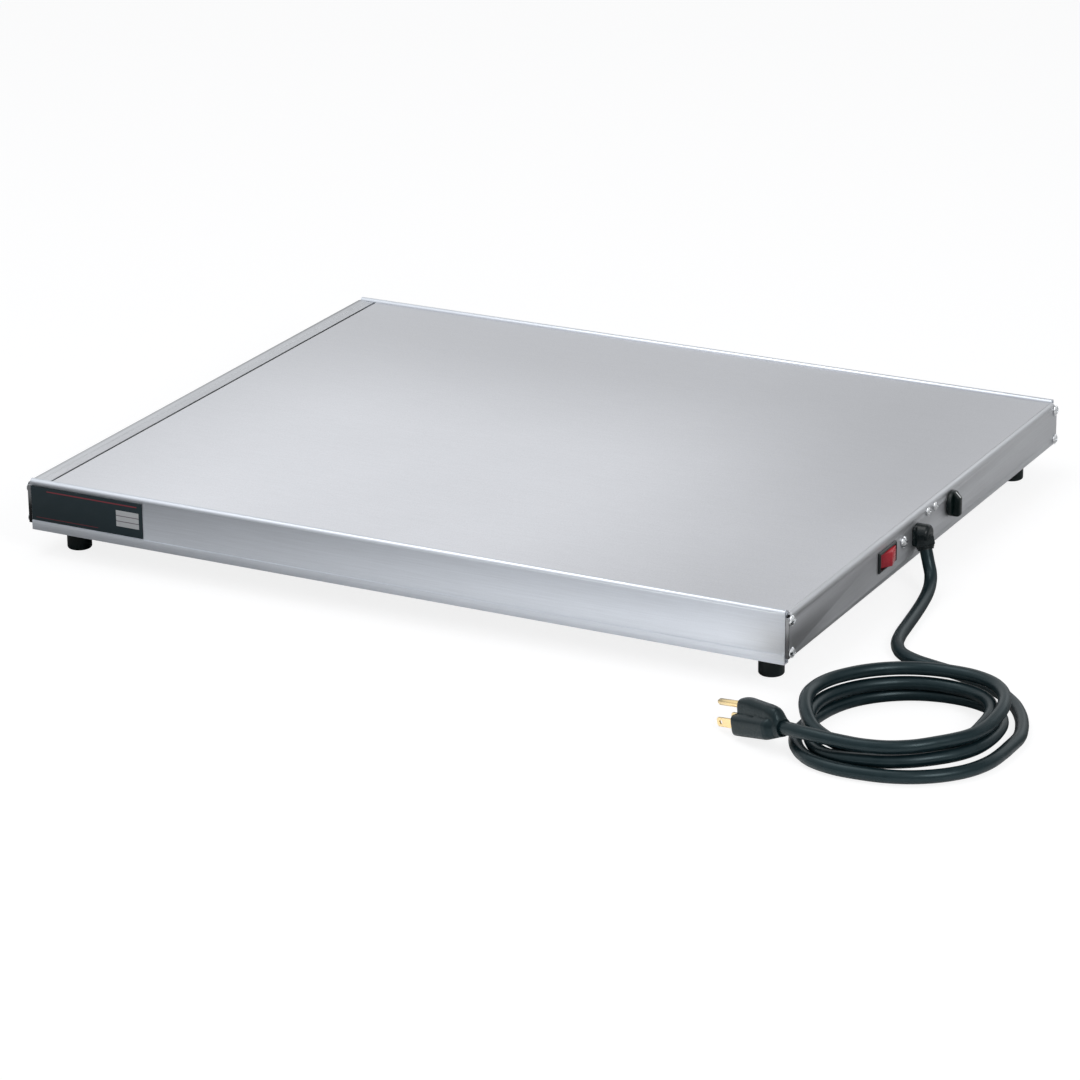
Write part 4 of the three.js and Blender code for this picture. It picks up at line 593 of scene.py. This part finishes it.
panel_steel = metal("panel_steel", (0.60, 0.61, 0.63), 0.50, (900, 25, 900), lines=0.22, specks=0.12,
                    clouds=0.12)
tree = panel_steel.node_tree
spot = place_of(panel_steel)
# Painted shade on the front edges and the left panel's outside, and a painted dark reflection of the
# cord in the low front corners.
front_edge_painted_shade = ramp_between(tree, spot.outputs["Y"], -0.2467, -0.2462, 0.50, 1.0)
left_side = ramp_between(tree, spot.outputs["X"], -0.3085, -0.3060, 1.0, 0.0)
left_outside_painted_shade = math(tree, "SUBTRACT", 1.0, math(
    tree, "MULTIPLY", left_side, ramp_between(tree, spot.outputs["Y"], -0.20, 0.20, 0.26, 0.40)))
low_front_painted_reflection = math(tree, "MULTIPLY", ramp_between(tree, spot.outputs["Y"], -0.235, -0.165, 0.32, 0.0),
                 ramp_between(tree, spot.outputs["Z"], 0.036, 0.048, 1.0, 0.0))
toned(panel_steel, math(tree, "SUBTRACT", math(tree, "MULTIPLY", front_edge_painted_shade, left_outside_painted_shade), low_front_painted_reflection))
for name in ("left_end_panel", "right_end_panel"):
    soften(name, panel_steel, 0.0002)


# Deck. One sheet of stainless with a fine, even grain, folded down at its edges over the
# heating blanket. Painted light brightens it towards the front and in a sheen patch, and painted
# shade darkens its far right corner.

deck_steel = metal("deck_steel", (0.60, 0.605, 0.63), 0.38, (40, 1100, 700), lines=0.14, specks=0.34,
                   clouds=0.10, bump=0.2)
tree = deck_steel.node_tree
spot = place_of(deck_steel)
# Painted light and shade: brighter to the front, a painted sheen patch, and a shaded far right corner.
painted_front_light = ramp_between(tree, spot.outputs["Y"], -0.20, 0.25, 1.02, 0.96)
painted_sheen = math(tree, "MULTIPLY", band(tree, spot.outputs["X"], -0.16, 0.06, 0.22),
                band(tree, spot.outputs["Y"], -0.26, -0.03, 0.22))
painted_corner_shade = math(tree, "MULTIPLY", ramp_between(tree, spot.outputs["X"], 0.02, 0.28, 0.0, 0.13),
                   ramp_between(tree, spot.outputs["Y"], -0.15, 0.05, 0.0, 1.0))
brighter = math(tree, "ADD", painted_front_light, math(tree, "MULTIPLY", painted_sheen, 0.26))
toned(deck_steel, math(tree, "SUBTRACT", brighter, painted_corner_shade))
soften("top_plate", deck_steel, 0.0002)


# Bottom pan, divider and bulb clip. Plain mill-finish sheet, folded and punched, inside and
# under the shelf.

pan_steel = metal("pan_steel", (0.52, 0.53, 0.54), 0.42, (60, 600, 600), lines=0.25, specks=0.20,
                  clouds=0.2)
for name in ("bottom_pan", "compartment_divider", "bulb_clip"):
    soften(name, pan_steel, 0.0002)


# Feet. Black moulded rubber posts with a rounded lower edge and a deep pocket for the screw
# that holds each one to the pan.

def along_axis(across, up, along, axis):
    """Points from places along the axis, "x" or "z", and in the two directions across it."""
    return np.stack((along, across, up) if axis == "x" else (across, up, along), -1)


def turned(profile, centre, axis="z", sides=48, wraps=False):
    """A profile of radius and distance along the axis, turned round it."""
    r, h = np.asarray(profile, float).T
    a = np.arange(sides) / sides * 2 * np.pi
    across, up = r[:, None] * np.cos(a), r[:, None] * np.sin(a)
    along = np.broadcast_to(h[:, None], across.shape)
    return shell(along_axis(across, up, along, axis) + np.asarray(centre, float), rows_wrap=wraps)


def arc(centre, radius, start, end, steps=6):
    """Places on an arc, its angles in degrees."""
    a = np.radians(np.linspace(start, end, steps + 1))
    return (np.asarray(centre, float) + radius * np.stack([np.cos(a), np.sin(a)], 1)).tolist()


FOOT_TOP, FOOT_BASE, POCKET_TOP = 3.5, -FLOOR_DEPTH, -7.8
FOOT_RADIUS, POCKET_RADIUS, SCREW_RADIUS = 9.2, 4.8, 2.2
LOW_ROUND, TOP_ROUND = 1.6, 0.5
foot_profile = ([[POCKET_RADIUS, FOOT_BASE + 0.25], [POCKET_RADIUS + 0.3, FOOT_BASE]]
                + arc((FOOT_RADIUS - LOW_ROUND, FOOT_BASE + LOW_ROUND), LOW_ROUND, -90, 0)
                + arc((FOOT_RADIUS - TOP_ROUND, FOOT_TOP - TOP_ROUND), TOP_ROUND, 0, 90, 3)
                + [[SCREW_RADIUS, FOOT_TOP], [SCREW_RADIUS, POCKET_TOP], [POCKET_RADIUS, POCKET_TOP]])
foot_places = [(x, y, 0) for x in (22.3, 587.3) for y in (27.8, 467.5)]
foot_rubber = moulded("foot_rubber", (0.0015, 0.006, 0.0065), 0.46, mottle=0.4, dust=0.08, pits=0.6,
                      dust_colour=(0.05, 0.06, 0.06), Specular_IOR_Level=0.25)
feet = [turned(foot_profile, place, wraps=True) for place in foot_places]
piece("feet", feet, foot_rubber, "shelf", 40,
      ("foot_front_left", "foot_front_right", "foot_rear_left", "foot_rear_right"))


# Screws. Bright zinc-plated steel. The end panels and the terminal block have domed heads with
# a cross recess, and the ground screw is larger and slotted. The nuts inside are plated alike.

def screw_head(radius, height, seat, side, recess=0.0, slot=0.0):
    """A domed head over polar rings: height falls from the middle as a cap, less a cross or a slot."""
    domed, sides, rim, floor_height = 22, 64, 0.55, 0.3
    half_arm, wall, slot_way = recess * 0.30, 0.15, (0.87, 0.5)
    share = np.linspace(0, 1, domed)
    r = np.concatenate([share, [1.0, 0.9]]) * radius
    a = np.arange(sides) / sides * 2 * np.pi
    cap = np.concatenate([height - (height - rim) * share ** 2.6, [0, 0]])
    y, z = r[:, None] * np.cos(a), r[:, None] * np.sin(a)
    cross = (np.clip((half_arm - np.minimum(np.abs(y), np.abs(z))) / wall, 0, 1)
             * np.clip((recess - r[:, None]) / 0.25, 0, 1))
    off_slot = np.abs(y * slot_way[0] + z * slot_way[1])
    groove = np.clip((slot / 2 - off_slot) / wall, 0, 1) * (slot > 0)
    on_dome = (np.arange(domed + 2) < domed)[:, None]
    cut = np.maximum(cross, groove) * on_dome * min(1.1, height * 0.5)
    out = np.maximum(cap[:, None] - cut, floor_height * on_dome)
    x0, y0, z0 = seat
    return shell(np.stack([x0 + side * out, y0 + y, z0 + z], -1))


def shank(radius, length, tip, seat, side):
    """A plain round shank with a flat cone for its tip, from just under the head inwards."""
    profile = [[0, -length], [radius, tip - length], [radius, 0.2], [0, 0.2]]
    return turned([[r, side * h] for r, h in profile], seat, "x", 16)


screw_zinc = metal("screw_zinc", (0.84, 0.855, 0.87), 0.13, (800, 800, 800), lines=0.15, specks=0.15,
                   clouds=0.1)
LEFT_SEAT, RIGHT_SEAT = -3.3, 612.9
GROUND_SCREW = (196, 23.6, 4.4, 2.8, 0, 1.1)
BLOCK_SCREWS = ((240.5, 32, 3.2, 1.9, 1.8, 0), (253.5, 32, 3.2, 1.9, 1.8, 0))
RAIL_MIDDLES, RAIL_SCREW_HEIGHTS = (4.6, 490.7), (31.7, 8.5)
screws = []
for side, seat, height in ((-1, LEFT_SEAT, 1.6), (1, RIGHT_SEAT, 2.2)):
    for y in RAIL_MIDDLES:
        for z in RAIL_SCREW_HEIGHTS:
            screws.append(screw_head(3.9, height, (seat, y, z), side, recess=2.2))
            screws.append(shank(1.6, 14, 0.6, (seat, y, z), side))
for y, z, radius, height, recess, slot in (GROUND_SCREW, *BLOCK_SCREWS):
    screws.append(screw_head(radius, height, (RIGHT_SEAT, y, z), 1, recess, slot))
    screws.append(shank(1.2, 9, 0.4, (RIGHT_SEAT, y, z), 1))
piece("panel_screws", screws, screw_zinc, "shelf", 32,
      [n for n in nodes if n.startswith(("end_screw", "terminal_block_screw"))] + ["ground_screw"])
for name in [n for n in nodes if n.startswith("foot_screw")] + ["ground_nut", "thermostat_nut",
                                                                 "strain_relief_locknut"]:
    soften(name, screw_zinc, 0.00015)


# Label. A thin printed plate, teal-black, with two plain red rules and a blank pale field that
# two thin lines divide. It is glued into the recess of the front rail.

label_print = moulded("label_print", (0.012, 0.024, 0.030), 0.36, mottle=0.15, dust=0.03, pits=0.1,
                      dust_colour=(0.10, 0.11, 0.11), Specular_IOR_Level=0.25)
tree = label_print.node_tree
face = tree.nodes["Principled BSDF"]
spot = place_of(label_print)
colour = face.inputs["Base Color"].links[0].from_socket
RULES = (((14, 92), (30.9, 31.8), (0.20, 0.030, 0.040)), ((4, 58), (10.1, 10.5), (0.18, 0.025, 0.035)))
FIELD = (((74, 93.5), (14.4, 26.8), (0.44, 0.45, 0.46)), ((74, 93.5), (18.1, 18.8), (0.16, 0.14, 0.16)),
         ((74, 93.5), (22.3, 23.0), (0.16, 0.14, 0.16)))


def within(tree, value, low, high):
    """1 where the value is between low and high, with hard edges."""
    away = math(tree, "ABSOLUTE", math(tree, "SUBTRACT", value, float(low + high) / 2))
    return math(tree, "LESS_THAN", away, float(high - low) / 2)


for (x0, x1), (z0, z1), ink in RULES + FIELD:
    low, high = in_frame([x0, 0, z0]), in_frame([x1, 0, z1])
    printed = math(tree, "MULTIPLY", within(tree, spot.outputs["X"], low[0], high[0]),
                   within(tree, spot.outputs["Z"], low[2], high[2]))
    colour = mixed(tree, printed, colour, (*ink, 1))
tree.links.new(colour, face.inputs["Base Color"])
soften("label_plate", label_print, 0.00005)


# Rocker switch. A black bezel snapped into the panel, and a translucent red rocker lit from
# behind: a low ridge with a curved skirt, turned on two pins.

CORNER_STEPS, END_STEPS = 5, 4


def rounded(corners, radii):
    """A closed outline whose corners are arcs of the given radii."""
    c = np.asarray(corners, float)
    r = np.broadcast_to(np.asarray(radii, float), len(c))[:, None]
    before, after = np.roll(c, 1, 0) - c, np.roll(c, -1, 0) - c
    before /= np.linalg.norm(before, axis=1)[:, None]
    after /= np.linalg.norm(after, axis=1)[:, None]
    half = np.arccos(np.clip((before * after).sum(1), -1, 1))[:, None] / 2
    bisector = before + after
    bisector /= np.linalg.norm(bisector, axis=1)[:, None]
    centre = c + bisector * r / np.sin(half)
    start, end = c + before * r / np.tan(half) - centre, c + after * r / np.tan(half) - centre
    sweep = np.pi - 2 * half
    s = np.linspace(0, 1, CORNER_STEPS + 1)[None, :, None]
    spread = (np.sin((1 - s) * sweep[:, None]) * start[:, None]
              + np.sin(s * sweep[:, None]) * end[:, None]) / np.sin(sweep[:, None])
    return (centre[:, None] + spread).reshape(-1, 2)


def inset(outline, depth):
    """The outline drawn in by a depth, square to itself."""
    along = np.roll(outline, -1, 0) - np.roll(outline, 1, 0)
    along /= np.linalg.norm(along, axis=1)[:, None] + 1e-12
    x, y = outline.T
    area = np.sum(x * np.roll(y, -1) - y * np.roll(x, -1))
    inward = np.stack([-along[:, 1], along[:, 0]], 1) * np.sign(area)
    return outline + inward * depth


def carried(outline, stations, axis):
    """An outline carried along an axis through stations of (place, depth drawn in)."""
    rows = np.stack([inset(outline, depth) for _, depth in stations])
    along = np.broadcast_to(np.array([place for place, _ in stations])[:, None], rows.shape[:2])
    return shell(along_axis(rows[..., 0], rows[..., 1], along, axis))


def round_ends(low, high, edge):
    """Stations whose two ends are rounded over by an edge radius."""
    a = np.linspace(0, np.pi / 2, END_STEPS + 1)
    start = [(low + edge * (1 - np.sin(t)), edge * (1 - np.cos(t))) for t in a[::-1]]
    end = [(high - edge * (1 - np.sin(t)), edge * (1 - np.cos(t))) for t in a]
    return start + end


def box_outline(half_y, half_z, radius, y, z):
    """A rectangle about (y, z) with round corners."""
    return rounded([(y - half_y, z - half_z), (y + half_y, z - half_z), (y + half_y, z + half_z),
                    (y - half_y, z + half_z)], radius)


SWITCH_Y, SWITCH_Z, FACE = 166.5, 22.2, 612.6
bezel_rows = []
for x, half_y, half_z, radius in (
        (FACE - 18, 14.7, 7.0, 0.4), (FACE + 0.3, 14.7, 7.0, 0.4), (FACE + 0.3, 15.5, 7.8, 0.7),
        (FACE + 0.75, 15.5, 7.8, 0.7), (FACE + 1.0, 15.35, 7.65, 0.7), (FACE + 1.7, 14.6, 6.9, 0.6),
        (FACE + 1.8, 14.35, 6.65, 0.5), (FACE + 1.8, 13.75, 6.15, 0.35), (FACE + 1.6, 13.55, 5.95, 0.3),
        (FACE - 15, 13.5, 5.9, 0.3)):
    outline = box_outline(half_y, half_z, radius, SWITCH_Y, SWITCH_Z)
    bezel_rows.append(np.column_stack([np.full(len(outline), x), outline]))
switch_black = moulded("switch_black", (0.004, 0.007, 0.008), 0.28, mottle=0.3, dust=0.04, pits=0.25,
                       dust_colour=(0.08, 0.09, 0.09))
piece("switch_bezel", [shell(np.stack(bezel_rows))], switch_black, "shelf", 30, ("switch_housing",))

ROCKER_REST, PIVOT_DEPTH, ROCKER_HALF, PIN_RADIUS = np.radians(-11), 3.5, 5.4, 1.2
rocker_outline = rounded([(9.0, 0), (3.4, 12.62), (0.4, 13.04), (-2.0, 12.9), (-2.0, -12.9),
                          (0.4, -13.04), (3.4, -12.62)], [1.2, 0.8, 0.3, 0.3, 0.3, 0.3, 0.8])
lean = np.array([[np.cos(ROCKER_REST), np.sin(ROCKER_REST)],
                 [-np.sin(ROCKER_REST), np.cos(ROCKER_REST)]])
rocker_place = rocker_outline @ lean + np.array([FACE - PIVOT_DEPTH, SWITCH_Y])
red_lens = moulded("red_lens", (0.21, 0.009, 0.018), 0.24, mottle=0.25, dust=0.02, pits=0.05,
                   dust_colour=(0.6, 0.25, 0.25))
tree = red_lens.node_tree
face = tree.nodes["Principled BSDF"]
GLOW_MIDDLE, GLOW_REACH = in_frame([FACE + 2.0, SWITCH_Y + 3.0, SWITCH_Z + 4.5]), 0.013
glow_place = node(tree, "ShaderNodeVectorMath", {
    0: node(tree, "ShaderNodeTexCoord").outputs["Object"], 1: tuple(GLOW_MIDDLE)},
    operation="DISTANCE")
glow = ramp_between(tree, glow_place.outputs["Value"], 0.0, GLOW_REACH, 0.32, 0.0)
lit = mixed(tree, glow, (0.05, 0.0, 0.002, 1), (1.0, 0.06, 0.07, 1))
tree.links.new(lit, face.inputs["Emission Color"])
face.inputs["Emission Strength"].default_value = 0.6
pin_reach = ROCKER_HALF + 1.1
pins = turned([[0, -pin_reach], [PIN_RADIUS, -pin_reach], [PIN_RADIUS, pin_reach], [0, pin_reach]],
              (FACE - PIVOT_DEPTH, SWITCH_Y, SWITCH_Z), "z", 20)
rocker_sides = round_ends(SWITCH_Z - ROCKER_HALF, SWITCH_Z + ROCKER_HALF, 0.5)
piece("rocker_lens", [carried(rocker_place, rocker_sides, "z"), pins], red_lens, "rocker", 30,
      ("switch_rocker",))
lamp_glass = moulded("lamp_glass", (0.95, 0.45, 0.25), 0.12, mottle=0.1, dust=0.0, pits=0.05)
soften("switch_lamp", lamp_glass)
for name in ("switch_blade_line", "switch_blade_load", "switch_blade_neutral", "ground_lug",
             "thermostat_shaft"):
    soften(name, brass, 0.0001)


# Strain relief. A right-angle fitting of black nylon: a flat flange with round corners against the
# panel, a thick elbow with a domed shoulder, and a six-sided nut over a ribbed collar that grips
# the cord.

STUB_RADIUS, STUB_ROUND, STUB_END = 7.4, 2.8, 623.6
ELBOW_RADIUS, ELBOW_ROUND, ELBOW_TOP, ELBOW_BASE = 7.0, 4.0, 24.6, 13.5
flange = carried(box_outline(half_y=6.9, half_z=7.4, radius=2.4, y=218.6, z=21.8),
                 round_ends(FACE + 0.3, FACE + 2.5, 0.5), "x")
stub = turned([[0, FACE - 8], [STUB_RADIUS, FACE - 8]]
              + arc((STUB_RADIUS - STUB_ROUND, STUB_END - STUB_ROUND), STUB_ROUND, 0, 90, 5)
              + [[0, STUB_END]], (0, 220.5, 22.5), "x")
elbow = turned([[0, ELBOW_BASE], [ELBOW_RADIUS, ELBOW_BASE]]
               + arc((ELBOW_RADIUS - ELBOW_ROUND, ELBOW_TOP - ELBOW_ROUND), ELBOW_ROUND, 0, 90, 6)
               + [[0, ELBOW_TOP]], (*COLLAR_TOP[:2], 0))
COLLAR_WIDE, COLLAR_TAPER, RIB_COUNT, RIB_DEPTH, MOUTH_RADIUS = 7.2, 0.9, 3, 0.45, 5.9
along = np.linspace(0, 1, 34)
collar_line = COLLAR_TOP + RELIEF_WAY * COLLAR_LENGTH * along[:, None]
grooves = np.sin(along * 2 * np.pi * RIB_COUNT) < -0.25
collar_radii = COLLAR_WIDE - COLLAR_TAPER * along - RIB_DEPTH * grooves
collar_radii[-1] = MOUTH_RADIUS
NUT_STATIONS, NUT_RADII = np.array([-1.6, -1.1, 4.6, 5.3]), [7.5, 8.4, 8.4, 7.5]
nut_line = COLLAR_TOP + RELIEF_WAY * NUT_STATIONS[:, None]
collar = tube_grid(collar_line, collar_radii, 40)
grip_nut = tube_grid(nut_line, NUT_RADII, 6)
for grid in (collar, grip_nut):
    grid[..., 0] = np.maximum(grid[..., 0], FACE + 1.5)
relief_nylon = moulded("relief_nylon", (0.002, 0.006, 0.007), 0.26, mottle=0.35, dust=0.03, pits=0.3,
                       dust_colour=(0.06, 0.07, 0.07), Specular_IOR_Level=0.28)
piece("strain_relief_fitting", [flange, stub, elbow, shell(collar), shell(grip_nut)], relief_nylon,
      "shelf", 34, ("strain_relief_body", "strain_relief_flange"))


# Thermostat knob. Black moulded plastic: a round skirt, a straight grip across it whose nose
# slopes down, and a white pointer line along the slope.

KNOB_Y, KNOB_Z = 283.0, 24.9
SKIRT_RADIUS, HOLLOW_RADIUS, BORE_RADIUS = 9.6, 7.4, 3.2
skirt = turned([[HOLLOW_RADIUS, FACE + 0.6], [SKIRT_RADIUS - 0.4, FACE + 0.6],
                [SKIRT_RADIUS, FACE + 1.0], [SKIRT_RADIUS, FACE + 3.0]]
               + arc((SKIRT_RADIUS - 0.7, FACE + 3.1), 0.7, 0, 90, 5)
               + [[BORE_RADIUS, FACE + 3.8], [BORE_RADIUS, FACE + 3.2], [HOLLOW_RADIUS, FACE + 3.2]],
               (0, KNOB_Y, KNOB_Z), "x", 96, wraps=True)
GRIP_FOOT, GRIP_HEIGHT, GRIP_HALF, GRIP_TAPER = 2.6, 8.6, 3.5, 0.35
NOSE_START, NOSE_HEIGHT = [4.3, 4.9, 9.2], [8.6, 8.35, 4.1]
# From the grip's tail to its nose: how its ends are rounded in from the sides, and its height.
station = np.concatenate([[-9.15, -9.0, -8.6], np.linspace(-7.8, 8.4, 34), [8.8, 9.05, 9.2]])
end_round = np.interp(station, [-9.15, -9.0, -8.6, -7.8, 8.4, 8.8, 9.05, 9.2],
                      [0.86, 0.94, 0.985, 1, 1, 0.98, 0.92, 0.82])
ridge = np.interp(station, [-9.15, -8.6, -8.0] + NOSE_START, [7.5, 8.2, GRIP_HEIGHT] + NOSE_HEIGHT)
a = np.linspace(0, 2 * np.pi, 40, endpoint=False)
across = np.sign(np.cos(a)) * np.abs(np.cos(a)) ** 0.5
outwards = 1 + np.sign(np.sin(a)) * np.abs(np.sin(a)) ** 0.38
half_height = (ridge - GRIP_FOOT)[:, None] / 2
grip = np.stack([
    FACE + GRIP_FOOT + half_height * outwards,
    KNOB_Y + (GRIP_HALF - GRIP_TAPER * outwards) * end_round[:, None] * across,
    np.broadcast_to(KNOB_Z + station[:, None], (len(station), len(a)))], -1)
knob_black = moulded("knob_black", (0.0015, 0.006, 0.006), 0.28, mottle=0.3, dust=0.04, pits=0.25,
                     dust_colour=(0.05, 0.06, 0.06), Specular_IOR_Level=0.25)
piece("knob_moulding", [skirt, shell(grip)], knob_black, "knob", 34, ("thermostat_knob",))
pointer_white = moulded("pointer_white", (0.78, 0.80, 0.80), 0.40, mottle=0.15, dust=0.05, pits=0.1)
slope = np.linspace(5.0, 8.9, 12)
nose = FACE + np.interp(slope, NOSE_START, NOSE_HEIGHT)
line_sides = ((-0.2, -0.55), (0.07, -0.5), (0.07, 0.5), (-0.2, 0.55))  # out of the nose, sideways
pointer = np.stack([np.stack([nose + out, np.full_like(slope, KNOB_Y + side), KNOB_Z + slope], -1)
                    for out, side in line_sides], 1)
piece("knob_pointer_line", [shell(pointer)], pointer_white, "knob", 40)


# Inner works. Blanket of matted glass fibre, silicone heater, terminal block, thermostat, its
# copper bulb and the sleeved wires.

glass_mat = moulded("glass_mat", (0.66, 0.52, 0.20), 0.9, mottle=0.8, dust=0.2, pits=1.0,
                    dust_colour=(0.8, 0.7, 0.4))
soften("insulation_blanket", glass_mat, 0.001)
silicone = moulded("heater_silicone", (0.42, 0.10, 0.05), 0.6, mottle=0.3, dust=0.1, pits=0.6)
soften("heating_blanket", silicone, 0.0004)
copper = metal("copper", (0.72, 0.36, 0.20), 0.28, (900, 900, 900), lines=0.2, specks=0.15,
               clouds=0.2)
soften("capillary_bulb", copper, 0)
for name, colour in (("terminal_block", (0.035, 0.035, 0.04)), ("thermostat_body", (0.05, 0.05, 0.055))):
    soften(name, moulded(name + "_plastic", colour, 0.45), 0.0003)
for name, colour in (("wire_line", (0.02, 0.02, 0.02)), ("wires_neutral", (0.75, 0.75, 0.70)),
                     ("wire_ground", (0.03, 0.25, 0.08)), ("wire_switched", (0.45, 0.03, 0.03)),
                     ("element_lead_switched", (0.72, 0.68, 0.58)),
                     ("element_lead_neutral", (0.72, 0.68, 0.58))):
    soften(name, moulded(name + "_sleeve", colour, 0.35, mottle=0.15), 0, 70)
